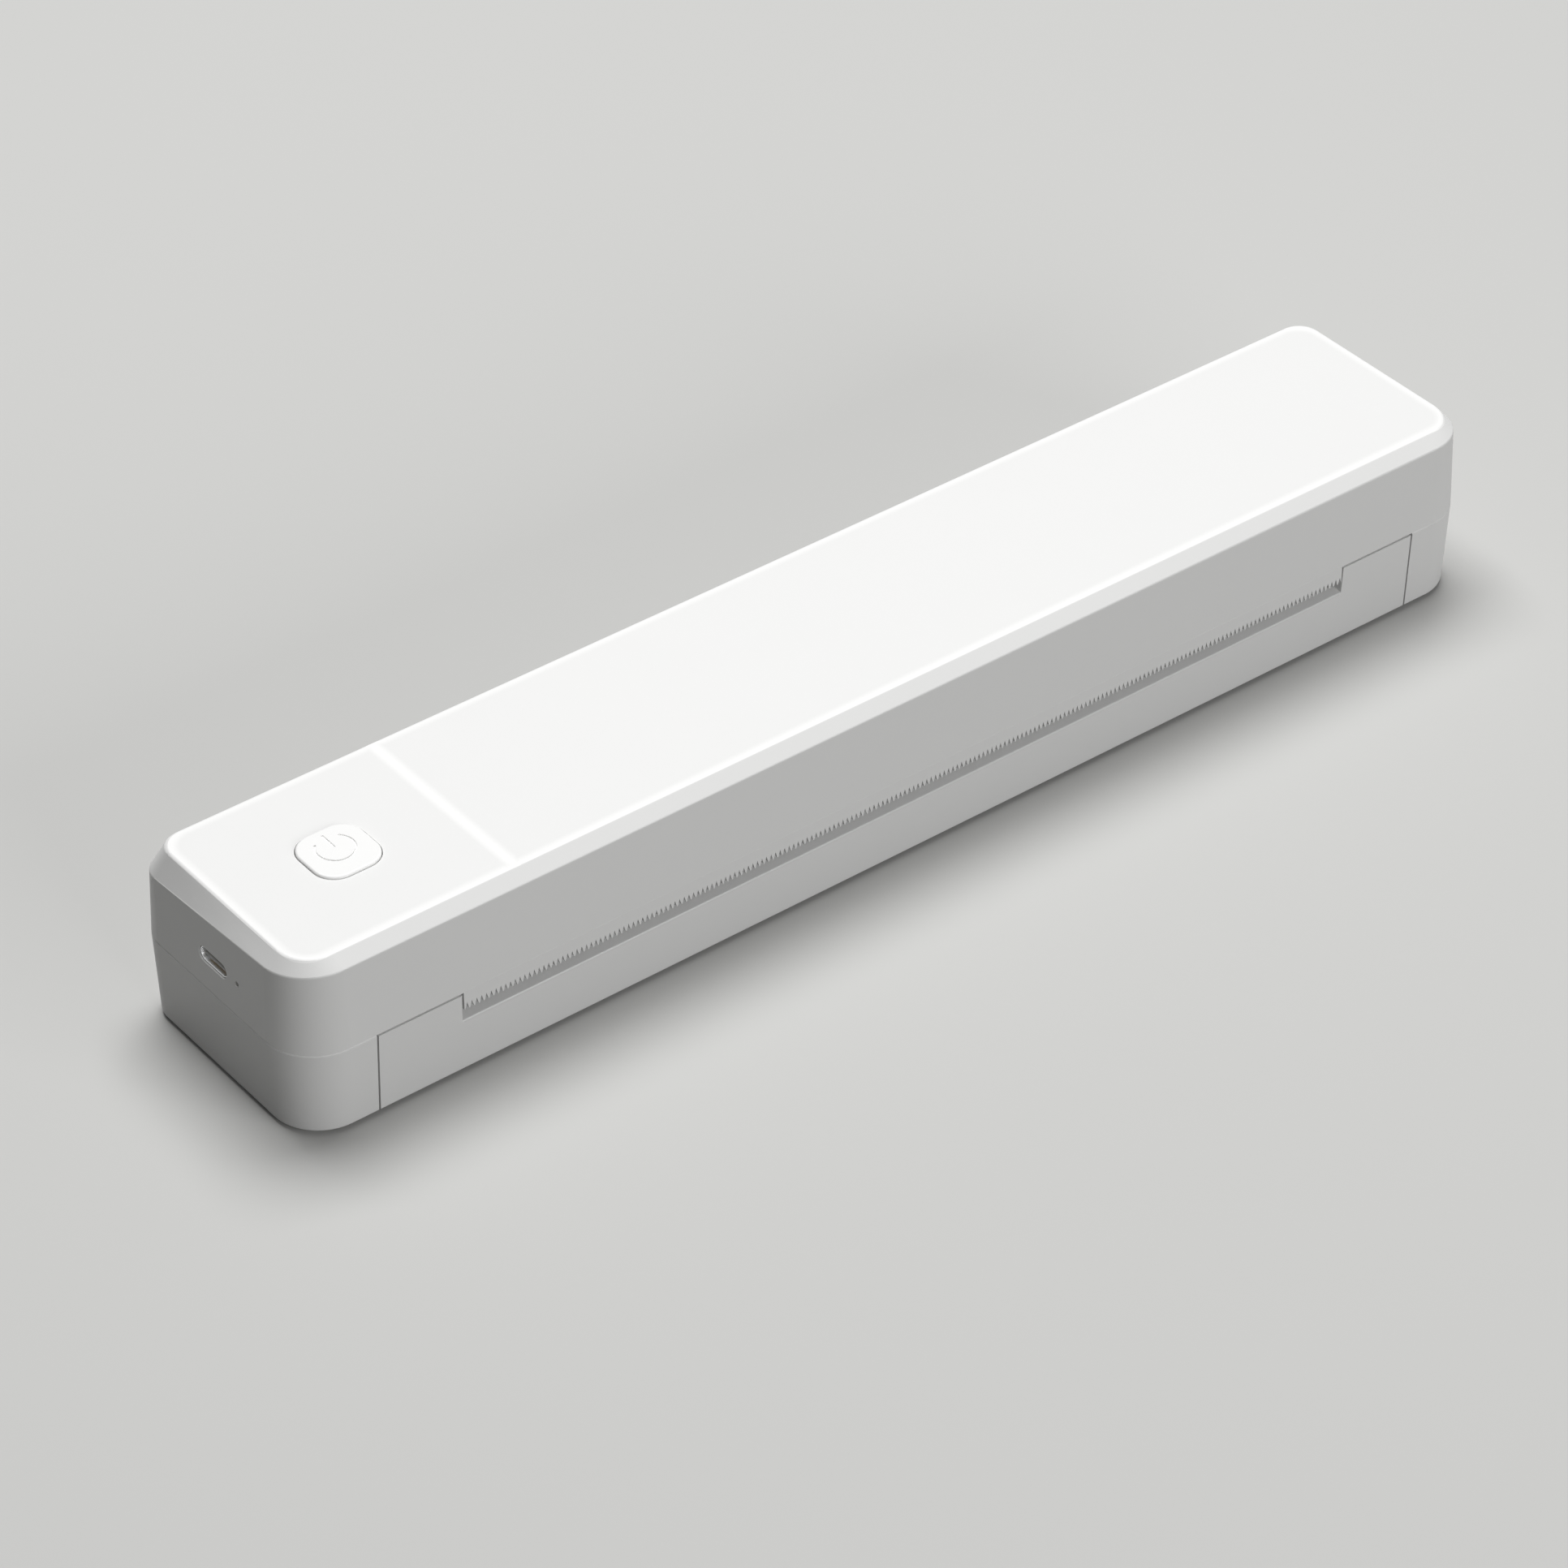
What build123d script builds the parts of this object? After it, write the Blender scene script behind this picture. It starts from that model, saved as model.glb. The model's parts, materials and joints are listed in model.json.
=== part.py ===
"""A4 portable thermal printer: a hinged housing over a base tray, in millimetres.

X runs along the length with the USB end at -X, -Y is the paper exit at the front, and +Z is up.
The origin is the centre of the footprint, on the surface that the feet stand on.
"""

import os
from math import acos, atan, atan2, cos, degrees, pi, radians, sin, tan

from build123d import *

os.makedirs("parts", exist_ok=True)

# ------------------------------------------------------------------ driving dimensions

# Outer body
end_length = 36.0  # from the end of the paper slot to the end of the body
end_cover_length = 17.0  # from the end of the body to the upright seam
parting_height = 18.4  # underside to parting line
front_corner_radius = 11.0
rear_corner_radius = 6.5
upper_draft = 2.3  # degrees, the walls lean in going up
lower_draft = 2.2  # degrees, the walls lean in going down
wall = 2.0
top_inset = 3.35  # from the widest outline in to the flat top
front_top_corner_radius = 7.0
rear_top_corner_radius = 4.5
front_bevel_drop = 2.4
rear_bevel_drop = 5.9
edge_break = 0.2  # small chamfer on both edges of the parting line
underside_fillet = 0.5
top_edge_fillet = 0.8
shoulder_fillet = 0.6  # between the walls and the bevel
crease_inset = 51.0  # crease across the top, from the USB end
crease_width = 3.6
crease_depth = 0.12

# Gaps between pieces
parting_gap = 0.3
seam_gap = 0.4
slide_clearance = 0.2
running_clearance = 0.05
free_gap = 0.3
seat_clearance = 0.1
cut_over = 1.0  # cutters run this far past the faces they open

# Paper path
slot_width = 216.0
tongue_drop = 3.8  # tear tongue below the parting line
tooth_pitch = 1.08
tooth_depth = 1.5
tooth_tip = 0.2  # share of the pitch that is the flat tip
tooth_valley = 0.6  # share of the pitch where the gap is deepest
lip_drop = 6.45  # outer edge of the lip below the parting line
lip_rise = 1.5
lip_depth = 5.0
lip_thickness = 1.6
lip_fillet = 0.35
inlet_drop = 1.3  # rear tongue below the parting line
inlet_margin = 12.0  # rear tongue past each end of the slot
inlet_height = 4.9

# Hinge
hinge_inset = 4.1  # in from the rear outline
hinge_drop = 2.2  # below the parting line
knuckle_radius = 2.6
knuckle_length = 5.2
pin_radius = 1.2
pin_grip = 3.8  # length held in the end cover

# Feet
foot_height = 0.8  # proud of the underside
foot_pocket = 0.5
foot_radius = 5.0
foot_inset_x = 44.0  # from the end of the body
foot_inset_y = 9.6  # from the front and the rear of the body
foot_fillet = 0.3

# Platen
platen_inset = 12.6  # roller axis behind the front outline
roller_radius = 5.5
roller_floor_gap = 0.7
roller_overhang = 0.5  # rubber past each end of the paper slot
core_radius = 3.0
core_stub = 1.0  # core past each end of the rubber
journal_radius = 2.0
bush_radius = 4.0
bush_length = 6.5
bush_flange_radius = 5.0
bush_flange = 1.0
pedestal = 3.0
pedestal_gap = 2.5  # from the roller end to the pedestal
pedestal_margin = 0.5  # in front of and behind the bush flange
shaft_chamfer = 0.3

# Paper guide
guide_gap = 1.5  # behind the roller
guide_drop = 0.5  # below the inlet
guide_sheet = 1.4
guide_turn = 4.0  # height of the turned-down front edge
guide_ridge = 0.4
guide_margin = 1.0  # past each end of the paper
rib_width = 1.2
rib_count = 9

# Gears
gear_module = 0.5
gear_backlash = 0.14
gear_width = 2.0
gear_step = 0.4  # between the two gear planes
platen_teeth = 22
idler_teeth = 20
small_teeth = 12
large_teeth = 36
pinion_teeth = 12
reduction_direction = 32.0  # degrees above the horizontal, from the idler to the reduction gear
motor_direction = 20.0  # degrees above the horizontal, from the reduction gear to the motor
stud_radius = 1.0
stud_proud = 0.1  # shafts and studs past the gears they carry
plate_to_gear = 0.8
motor_radius = 8.0
motor_length = 14.5
motor_back_fillet = 0.6
motor_shaft_seat = 4.0
motor_shaft_radius = 0.75
motor_ear_pitch = 21.0
motor_ear_radius = 2.6
motor_ear_sheet = 1.0
motor_ear_direction = -30.0

# Print head
head_gap = 0.3  # ceramic above the roller
ceramic_thickness = 1.0
ceramic_depth = 10.0
ceramic_ahead = 6.0  # ceramic in front of the roller axis
ceramic_overlap = 0.5  # past each end of the paper
heatsink_thickness = 3.0
heatsink_depth = 16.0
heatsink_ahead = 7.0
heatsink_overhang = 1.0  # past each end of the paper slot
driver_cover_depth = 4.0
driver_cover_height = 0.9
rod_radius = 1.5
rod_behind = 11.0  # head pivot behind the roller axis
rod_lift = 10.0  # head pivot above the roller axis
spring_height = 2.8
spring_radius = 2.2
spring_wire = 0.25  # wire radius
spring_turns = 3
spring_inset = 18.0  # from the end of the paper slot
spring_count = 4
frame_sheet = 1.2
frame_plate_gap = 7.0  # from the end of the paper slot to each side plate
beam_ahead = 8.0  # beam in front of the roller axis
beam_depth = 17.0
frame_boss_inset = (8.0, 18.0)  # from the left and the right end of the slot
frame_boss_behind = 3.6  # behind the front of the beam
plate_foot_drop = 3.0  # side plates reach this far below the roller axis
plate_foot_ahead = 2.5  # in front of the bush
plate_foot_behind = 4.0  # behind the bush
plate_behind_rod = 3.0
plate_below_rod = 3.5
plate_above_motor = 3.0
gear_plate_gap = 1.0  # to the roof and to the inner cover
notch_flare = 20.0  # degrees
lug_radius = 2.7
lug_width = 8.0
lug_step = 0.5  # underside of the lugs above the underside of the heatsink
head_connector_height = 1.6
head_connector_depth = 3.6
head_connector_inset = 2.4  # in front of the rear of the heatsink
flex_from_board_end = 15.0
flex_width = 24.0
flex_sheet = 0.3
flex_start = 3.5  # in front of the rear of the heatsink
flex_below_beam = 0.15
flex_behind_beam = 0.6
flex_margin = 1.0  # socket past each side of the flex
flex_socket_height = 1.4
flex_socket_depth = 3.2
flex_socket_gap = 0.2

# Inner cover and battery
inner_cover_sheet = 1.0
inner_cover_behind = 3.5  # front edge behind the head pivot
cover_boss_inset = 3.7  # from the end of the inner cover
cover_boss_from_rear = 7.1
cell_radius = 9.2
cell_length = 65.0
cell_gap = 1.0
cell_to_motor = 5.0
cell_roof_gap = 0.4
cell_rear_gap = 1.4
cradle_wall = 1.2
cradle_height = 8.0
cradle_behind = 3.0  # behind the front edge of the inner cover
cell_fillet = 0.8
contact_strip = 0.3
contact_size = 8.0
sensor_width = 8.0
sensor_depth = 4.0
sensor_height = 3.0
sensor_behind = 1.5  # behind the front edge of the inner cover
lead_radius = 0.6
lead_pitch = 1.5
lead_run = 3.2
lead_bend = 1.8
lead_offset = 2.0  # in front of the cell axis

# Main board
board_sheet = 1.2
board_inset = 3.1  # from the end of the body
board_to_cradle = 8.0
board_above_beam = 1.1
board_depth = 29.0
board_boss_inset = (5.0, 2.5)  # from the ends and from the sides of the board
usb_offset = 1.2  # socket centre behind the middle
usb_width = 8.94
usb_height = 3.2
usb_depth = 7.4
usb_recess = 0.25
usb_sheet = 0.3
usb_back = 1.0
usb_tongue_width = 6.7
usb_tongue_sheet = 0.7
usb_tongue_recess = 0.8
reset_offset = -6.7
pinhole_radius = 0.6
reset_travel = 0.25
reset_side = 3.6
reset_inset = 0.5  # switch face behind the end of the board
reset_plunger_radius = 0.8
reset_proud = 0.5
reset_seat = 1.0

# Parts on the board
switch_side = 6.0
switch_height = 3.4
plunger_radius = 1.6
plunger_half = 0.9
chip_from_end = 39.5  # from the battery end of the board
chip_size = 10.0
chip_height = 1.2
module_from_end = 24.0
module_size = (16.0, 14.0)
module_height = 2.4
capacitor_from_end = 11.0
capacitor_y = 5.0
capacitor_radius = 3.15
capacitor_height = 7.0
light_gap = 0.8  # behind the power switch
light_size = (2.0, 1.2)
light_height = 0.8
connector_inset = 0.5
connector_length = 6.0
connector_width = 6.0
connector_height = 3.9
battery_connector_y = 4.0
motor_connector_y = -5.0
wire_height = 1.4  # above the board
cable_radius = 1.0
cable_start = (-5.0, 1.0)  # from the motor axis
cable_runs = (14.0, 40.0)  # from the back of the motor
cable_bend = 24.0

# Power button
button_inset = 27.8  # from the end of the body
button_size = 14.0
button_corner = 4.7
button_proud = 0.5
button_travel = 0.5
button_flange = 1.0
button_fillet = 0.45
button_stem_radius = 2.0
button_rim = 1.2  # flange past the button all round
sign_radius = 3.8
sign_offset = 0.95  # middle of the ring behind the middle of the button
sign_groove = 0.45
sign_depth = 0.25
sign_opening = 90.0  # degrees of the ring left open at the rear
sign_bar = 4.4
sign_bar_offset = 3.25  # middle of the bar behind the middle of the button

# Screws
boss_radius = 2.75
hole_extra = 1.0  # pilot holes are deeper than the screws reach
case_boss_inset_x = 8.0
case_boss_inset_y = 8.6
case_boss_radius = 3.6
case_screw_recess = 6.0
case_screw_reach = 7.0
small_screw_reach = 5.0
screw_clearance = 0.2
case_screw_radius = 1.3
case_screw_head = 2.3
small_screw_radius = 1.0
small_screw_head = 1.8
screw_head_height = 1.4

# ------------------------------------------------------------------ derived places

# The body's length comes from the paper slot, its depth from the row of roller, print head and
# battery cells, and its height from the cells that lie on the inner cover.
slot_half = slot_width / 2
body_length = slot_width + 2 * end_length  # widest, at the parting line
cell_row = cradle_behind + cradle_wall + seat_clearance + 2 * cell_radius + cell_rear_gap
body_depth = platen_inset + rod_behind + inner_cover_behind + cell_row + wall  # widest
bottom_z = foot_height
parting_z = bottom_z + parting_height
front_y = -body_depth / 2
rear_y = body_depth / 2
floor_z = bottom_z + wall
tray_top_z = parting_z - parting_gap
seam_x = body_length / 2 - end_cover_length
tray_half = seam_x - seam_gap / 2
cover_start = seam_x + seam_gap / 2
notch_half = slot_half + seam_gap
tongue_top_z = parting_z + 2 * edge_break

hinge_y = rear_y - hinge_inset
hinge_z = parting_z - hinge_drop
inlet_top_z = parting_z - inlet_drop
inlet_bottom_z = inlet_top_z - inlet_height

platen_y = front_y + platen_inset
platen_z = floor_z + roller_floor_gap + roller_radius
roller_half = slot_half + roller_overhang
pedestal_start = roller_half + pedestal_gap
bush_start = pedestal_start - bush_flange
frame_plate_inner = slot_half + frame_plate_gap
plate_outer = frame_plate_inner + frame_sheet
gear_plane_a = plate_outer + plate_to_gear
gear_plane_b = gear_plane_a + gear_width + gear_step

ceramic_z = platen_z + roller_radius + head_gap
heatsink_z = ceramic_z + ceramic_thickness
heatsink_top = heatsink_z + heatsink_thickness
beam_z = heatsink_top + spring_height
beam_top = beam_z + frame_sheet
beam_front = platen_y - beam_ahead
beam_rear = beam_front + beam_depth
rod_y = platen_y + rod_behind
rod_z = platen_z + rod_lift

passage_top = inlet_top_z - free_gap
inner_cover_z = passage_top
inner_cover_top = inner_cover_z + inner_cover_sheet
inner_cover_front = rod_y + inner_cover_behind
cell_z = inner_cover_top + seat_clearance + cell_radius
ceiling_z = cell_z + cell_radius + cell_roof_gap
top_z = ceiling_z + wall
cradle_front = inner_cover_front + cradle_behind
cell_y = cradle_front + cradle_wall + seat_clearance + cell_radius
motor_face = frame_plate_inner
motor_back = motor_face - motor_length
cell_end = motor_back - cell_to_motor
cell_2_start = cell_end - cell_length
cell_1_end = cell_2_start - cell_gap
cell_start = cell_1_end - cell_length
cradle_start = cell_start - contact_strip - cradle_wall

board_start = board_inset - body_length / 2
board_end = cradle_start - board_to_cradle
board_z = beam_top + board_above_beam
board_top = board_z + board_sheet
usb_z = board_top + usb_height / 2
button_x = button_inset - body_length / 2
flex_x_mid = board_end - flex_from_board_end
left_wall_x = -body_length / 2 + (usb_z - parting_z) * tan(radians(upper_draft))


# ------------------------------------------------------------------ shared shapes


def block(x, y, z, mode=Mode.ADD):
    """Add or cut a box between two X, two Y and two Z values."""
    with Locations(((x[0] + x[1]) / 2, (y[0] + y[1]) / 2, (z[0] + z[1]) / 2)):
        Box(x[1] - x[0], y[1] - y[0], z[1] - z[0], mode=mode)


def across(x, y=0.0, z=0.0):
    """Plane square to X whose sketch axes are Y and Z."""
    return Plane(origin=(x, y, z), x_dir=(0, 1, 0), z_dir=(1, 0, 0))


def rod(x, y, z, radius, mode=Mode.ADD):
    """Add or cut a round bar along X between two X values."""
    with BuildSketch(across(x[0], y, z)) as section:
        Circle(radius)
    extrude(section.sketch, amount=x[1] - x[0], mode=mode)


def post(x, y, z, radius, mode=Mode.ADD):
    """Add or cut a round bar along Z between two Z values."""
    with BuildSketch(Plane.XY.offset(z[0])) as section:
        with Locations((x, y)):
            Circle(radius)
    extrude(section.sketch, amount=z[1] - z[0], mode=mode)


def profile_along_x(points, x, mode=Mode.ADD):
    """Add or cut a straight bar along X whose section is a polygon of (y, z) points."""
    with BuildSketch(across(x[0])) as section:
        with BuildLine():
            Polyline(*points, close=True)
        make_face()
    extrude(section.sketch, amount=x[1] - x[0], mode=mode)


def body_outline(inset, front_radius, rear_radius):
    """Sketch the body's outline, inset all round, with its front and rear corners rounded."""
    Rectangle(body_length - 2 * inset, body_depth - 2 * inset)
    fillet(vertices().group_by(Axis.Y)[0], radius=front_radius)
    fillet(vertices().group_by(Axis.Y)[-1], radius=rear_radius)


def drafted(inset, z, height, draft, mode=Mode.ADD):
    """Add or cut the body's rounded outline, inset all round and leaning in by the draft."""
    with BuildSketch(Plane.XY.offset(z)) as outline:
        body_outline(inset, front_corner_radius - inset, rear_corner_radius - inset)
    direction = 1 if height > 0 else -1
    extrude(outline.sketch, amount=abs(height), dir=(0, 0, direction), taper=draft, mode=mode)


def screw(x, y, head_z, tip_z, radius, head_radius):
    """Add a pan-head screw along Z; its head sits outside head_z, away from the tip."""
    side = 1 if head_z > tip_z else -1
    ends = sorted((head_z, tip_z))
    post(x, y, ends, radius)
    post(x, y, sorted((head_z, head_z + side * screw_head_height)), head_radius)


def involute(angle):
    """Involute function of a pressure angle in radians."""
    return tan(angle) - angle


def gear_outline(teeth):
    """Points of a spur gear with stub teeth, the first tooth centred on the sketch's x axis."""
    pressure = radians(20.0)
    pitch_radius = gear_module * teeth / 2
    base_radius = pitch_radius * cos(pressure)
    tip_radius = pitch_radius + 0.8 * gear_module
    root_radius = pitch_radius - 1.05 * gear_module
    half_at_pitch = pi / (2 * teeth) - gear_backlash / (4 * pitch_radius)

    def half_angle(radius):
        if radius <= base_radius:
            return half_at_pitch + involute(pressure)
        return half_at_pitch + involute(pressure) - involute(acos(base_radius / radius))

    steps = [root_radius, max(base_radius, root_radius + 0.05), pitch_radius, tip_radius]
    points = []
    for tooth in range(teeth):
        centre = 2 * pi * tooth / teeth
        flank = [(radius, -half_angle(radius)) for radius in steps]
        flank += [(radius, half_angle(radius)) for radius in reversed(steps)]
        points += [(r * cos(centre + a), r * sin(centre + a)) for r, a in flank]
    return points


def spur_gear(teeth, x, y, z, phase, bore):
    """Add a spur gear between two X values, centred on (y, z), with its first tooth at the phase."""
    with BuildSketch(across(x[0], y, z)) as section:
        with BuildSketch(mode=Mode.PRIVATE) as outline:
            with BuildLine():
                Polyline(*gear_outline(teeth), close=True)
            make_face()
        add(outline.sketch, rotation=phase)
        if bore:
            Circle(bore, mode=Mode.SUBTRACT)
    extrude(section.sketch, amount=x[1] - x[0])


def mesh_phase(phase, teeth, next_teeth, direction):
    """Phase of the next gear, in degrees, so that its gap takes the tooth that faces it."""
    pitch = 360.0 / teeth
    share = ((direction - phase) / pitch) % 1.0
    return direction + 180.0 + (share + 0.5) * 360.0 / next_teeth


# The gear train, worked out from the platen up. The idler leaves the platen gear along their
# common line when the housing opens, so that line follows the idler's path about the hinge.
platen_to_idler = gear_module * (platen_teeth + idler_teeth) / 2
mesh_lean = 0.0
for _ in range(20):
    idler_y = platen_y + platen_to_idler * sin(mesh_lean)
    idler_z = platen_z + platen_to_idler * cos(mesh_lean)
    mesh_lean = atan2(idler_z - hinge_z, hinge_y - idler_y)
idler_to_small = gear_module * (idler_teeth + small_teeth) / 2
reduction_y = idler_y + idler_to_small * cos(radians(reduction_direction))
reduction_z = idler_z + idler_to_small * sin(radians(reduction_direction))
large_to_pinion = gear_module * (large_teeth + pinion_teeth) / 2
motor_y = reduction_y + large_to_pinion * cos(radians(motor_direction))
motor_z = reduction_z + large_to_pinion * sin(radians(motor_direction))
up_to_idler = 90.0 - degrees(mesh_lean)
platen_phase = up_to_idler
idler_phase = mesh_phase(platen_phase, platen_teeth, idler_teeth, up_to_idler)
small_phase = mesh_phase(idler_phase, idler_teeth, small_teeth, reduction_direction)
large_phase = small_phase
pinion_phase = mesh_phase(large_phase, large_teeth, pinion_teeth, motor_direction)

# ------------------------------------------------------------------ top shell

bevel_tilt = degrees(atan((rear_bevel_drop - front_bevel_drop) / body_depth))
bevel_mean_drop = (front_bevel_drop + rear_bevel_drop) / 2
crease_x = crease_inset - body_length / 2
crease_radius = crease_width**2 / (8 * crease_depth) + crease_depth / 2


def bevel_plane(roof_z):
    """Plane of the bevel's lower edge, which drops towards the rear."""
    return Plane(origin=(0, 0, roof_z - bevel_mean_drop)).rotated((-bevel_tilt, 0, 0))


def housing_form(inset, roof_z):
    """Make the drafted upper form with its bevelled top, inset all round."""
    with BuildPart(mode=Mode.PRIVATE) as form:
        drafted(inset, parting_z, top_z - bottom_z, upper_draft)
        split(bisect_by=bevel_plane(roof_z), keep=Keep.BOTTOM)
        bevel_base = form.faces().sort_by(Axis.Z)[-1]
        with BuildSketch(Plane.XY.offset(roof_z)) as flat_top:
            top_radii = (front_top_corner_radius - inset, rear_top_corner_radius - inset)
            body_outline(top_inset + inset, *top_radii)
        loft(sections=[bevel_base, flat_top.sketch.faces()[0]], ruled=True)
    return form.part


frame_boss_x = (frame_boss_inset[0] - slot_half, 0, slot_half - frame_boss_inset[1])
frame_boss_y = beam_front + frame_boss_behind
cover_boss_x = (cover_boss_inset - plate_outer, plate_outer - cover_boss_inset)
cover_boss_y = rear_y - cover_boss_from_rear
case_boss_x = body_length / 2 - case_boss_inset_x
case_boss_y = body_depth / 2 - case_boss_inset_y
board_boss_x = (board_start + board_boss_inset[0], board_end - board_boss_inset[0])
board_boss_y = board_depth / 2 - board_boss_inset[1]
button_hole = button_size + 2 * slide_clearance
button_hole_corner = button_corner + slide_clearance


def tear_profile():
    """Points of the tear tongue seen from the front, teeth down."""
    teeth_count = round(slot_width / tooth_pitch)
    pitch = slot_width / teeth_count
    tip_z = parting_z - tongue_drop
    points = [(slot_half, tongue_top_z), (-slot_half, tongue_top_z)]
    for tooth in range(teeth_count):
        start = -slot_half + tooth * pitch
        points.append((start, tip_z))
        points.append((start + tooth_tip * pitch, tip_z))
        points.append((start + tooth_valley * pitch, tip_z + tooth_depth))
    points.append((slot_half, tip_z))
    return points


def screw_hole(x, y, z):
    """Cut a pilot hole for a small screw up from the end of a boss."""
    post(x, y, (z, z + small_screw_reach + hole_extra), small_screw_radius, Mode.SUBTRACT)


outer_form = housing_form(0, top_z)
inner_form = housing_form(wall, ceiling_z)

with BuildPart() as top_shell:
    add(outer_form)
    shoulder = [e for e in edges() if abs(bevel_plane(top_z).to_local_coords(e.center()).Z) < 0.01]
    fillet(shoulder, radius=shoulder_fillet)
    top_face = faces().sort_by(Axis.Z)[-1]
    fillet(top_face.edges(), radius=top_edge_fillet)
    add(inner_form, mode=Mode.SUBTRACT)
    outer_rim = faces().sort_by(Axis.Z)[0].outer_wire().edges()
    chamfer(outer_rim, length=edge_break)
    for x in frame_boss_x:
        post(x, frame_boss_y, (beam_top, ceiling_z), boss_radius)
        screw_hole(x, frame_boss_y, beam_top)
    for x in cover_boss_x:
        post(x, cover_boss_y, (inner_cover_top, ceiling_z), boss_radius)
        screw_hole(x, cover_boss_y, inner_cover_top)
    for x in board_boss_x:
        for y in (-board_boss_y, board_boss_y):
            post(x, y, (board_top, ceiling_z), boss_radius)
            screw_hole(x, y, board_top)
    for x in (-case_boss_x, case_boss_x):
        for y in (-case_boss_y, case_boss_y):
            post(x, y, (parting_z, ceiling_z), boss_radius)
            hole_z = (parting_z, parting_z + case_screw_reach + hole_extra)
            post(x, y, hole_z, case_screw_radius, Mode.SUBTRACT)
    with BuildSketch(Plane.XY.offset(top_z + cut_over)):
        with Locations((button_x, 0)):
            RectangleRounded(button_hole, button_hole, button_hole_corner)
    extrude(amount=-wall - 2 * cut_over, mode=Mode.SUBTRACT)
    with BuildSketch(across(-body_length / 2 - cut_over, usb_offset, usb_z)):
        SlotOverall(usb_width + 2 * seat_clearance, usb_height + 2 * seat_clearance)
    extrude(amount=wall + 3 * cut_over, mode=Mode.SUBTRACT)
    pinhole_x = (-body_length / 2 - cut_over, -body_length / 2 + wall + 2 * cut_over)
    rod(pinhole_x, reset_offset, usb_z, pinhole_radius, Mode.SUBTRACT)
    with BuildSketch(Plane.XZ.offset(-rear_y)):
        with Locations((crease_x, top_z - crease_depth + crease_radius)):
            Circle(crease_radius)
    extrude(amount=body_depth, mode=Mode.SUBTRACT)
    inlet_half = slot_half + inlet_margin
    block((-inlet_half, inlet_half), (rear_y - wall, rear_y), (inlet_top_z, tongue_top_z))
    with BuildSketch(Plane.XZ.offset(-front_y)):
        with BuildLine():
            Polyline(*tear_profile(), close=True)
        make_face()
    extrude(amount=-wall)

# ------------------------------------------------------------------ lower covers and tray


def lower_form(inset, height):
    """Make the drafted lower form, hanging from the parting line and inset all round."""
    with BuildPart(mode=Mode.PRIVATE) as form:
        drafted(inset, parting_z, -height, lower_draft)
    return form.part


def slice_along_x(solid, x):
    """Keep the part of a solid that lies between two X values."""
    with BuildPart(mode=Mode.PRIVATE) as kept:
        add(solid)
        split(bisect_by=Plane.YZ.offset(x[0]), keep=Keep.TOP)
        split(bisect_by=Plane.YZ.offset(x[1]), keep=Keep.BOTTOM)
    return kept.part


with BuildPart() as lower_block:
    add(lower_form(0, parting_height))
    fillet(faces().sort_by(Axis.Z)[0].edges(), radius=underside_fillet)
    chamfer(faces().sort_by(Axis.Z)[-1].edges(), length=edge_break)
lower_outer = lower_block.part
lower_inner = lower_form(wall, parting_height - wall)
far = body_length

lip_z = parting_z - lip_drop
lip_y = front_y + lip_drop * tan(radians(lower_draft))
pedestal_half = bush_flange_radius + pedestal_margin
tray_rear_inner = rear_y - wall - parting_height * tan(radians(lower_draft))
knuckle_x = (tray_half - knuckle_length, tray_half)
foot_x = body_length / 2 - foot_inset_x
foot_y = body_depth / 2 - foot_inset_y

with BuildPart() as base_tray:
    add(slice_along_x(lower_outer, (-tray_half, tray_half)))
    add(slice_along_x(lower_inner, (-tray_half + wall, tray_half - wall)), mode=Mode.SUBTRACT)
    block((-far, far), (-far, far), (tray_top_z, top_z), Mode.SUBTRACT)
    block((-notch_half, notch_half), (front_y - cut_over, 0), (lip_z, top_z), Mode.SUBTRACT)
    rear_cut = hinge_y - knuckle_radius - free_gap
    block((-far, far), (rear_cut, rear_y + cut_over), (inlet_bottom_z, top_z), Mode.SUBTRACT)
    lip_points = [
        (lip_y, lip_z),
        (lip_y + lip_depth, lip_z + lip_rise),
        (lip_y + lip_depth, lip_z + lip_rise - lip_thickness),
        (lip_y + wall, lip_z - lip_thickness),
    ]
    profile_along_x(lip_points, (-notch_half, notch_half))
    lip_edge = edges().filter_by(Axis.X).sort_by_distance((0, lip_y, lip_z))[0]
    fillet(lip_edge, radius=lip_fillet)
    for side in (-1, 1):
        pedestal_x = sorted((side * pedestal_start, side * (pedestal_start + pedestal)))
        pedestal_y = (platen_y - pedestal_half, platen_y + pedestal_half)
        block(pedestal_x, pedestal_y, (floor_z, platen_z + bush_radius / 2))
        rod(pedestal_x, platen_y, platen_z, bush_radius, Mode.SUBTRACT)
        seat_y = (platen_y - bush_radius, platen_y + bush_radius)
        block(pedestal_x, seat_y, (platen_z, platen_z + bush_radius), Mode.SUBTRACT)
        ends = sorted(side * x for x in knuckle_x)
        rod(ends, hinge_y, hinge_z, knuckle_radius)
        block(ends, (hinge_y - knuckle_radius, hinge_y + pin_radius), (floor_z, hinge_z))
        rod(ends, hinge_y, hinge_z, pin_radius + running_clearance, Mode.SUBTRACT)
        for y in (-foot_y, foot_y):
            pocket_z = (bottom_z - cut_over, bottom_z + foot_pocket)
            post(side * foot_x, y, pocket_z, foot_radius, Mode.SUBTRACT)

with BuildPart() as rubber_feet:
    with BuildSketch():
        with GridLocations(2 * foot_x, 2 * foot_y, 2, 2):
            Circle(foot_radius - seat_clearance)
    extrude(amount=foot_height + foot_pocket)
    fillet(faces().filter_by(Plane.XY).group_by(Axis.Z)[0].edges(), radius=foot_fillet)


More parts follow.
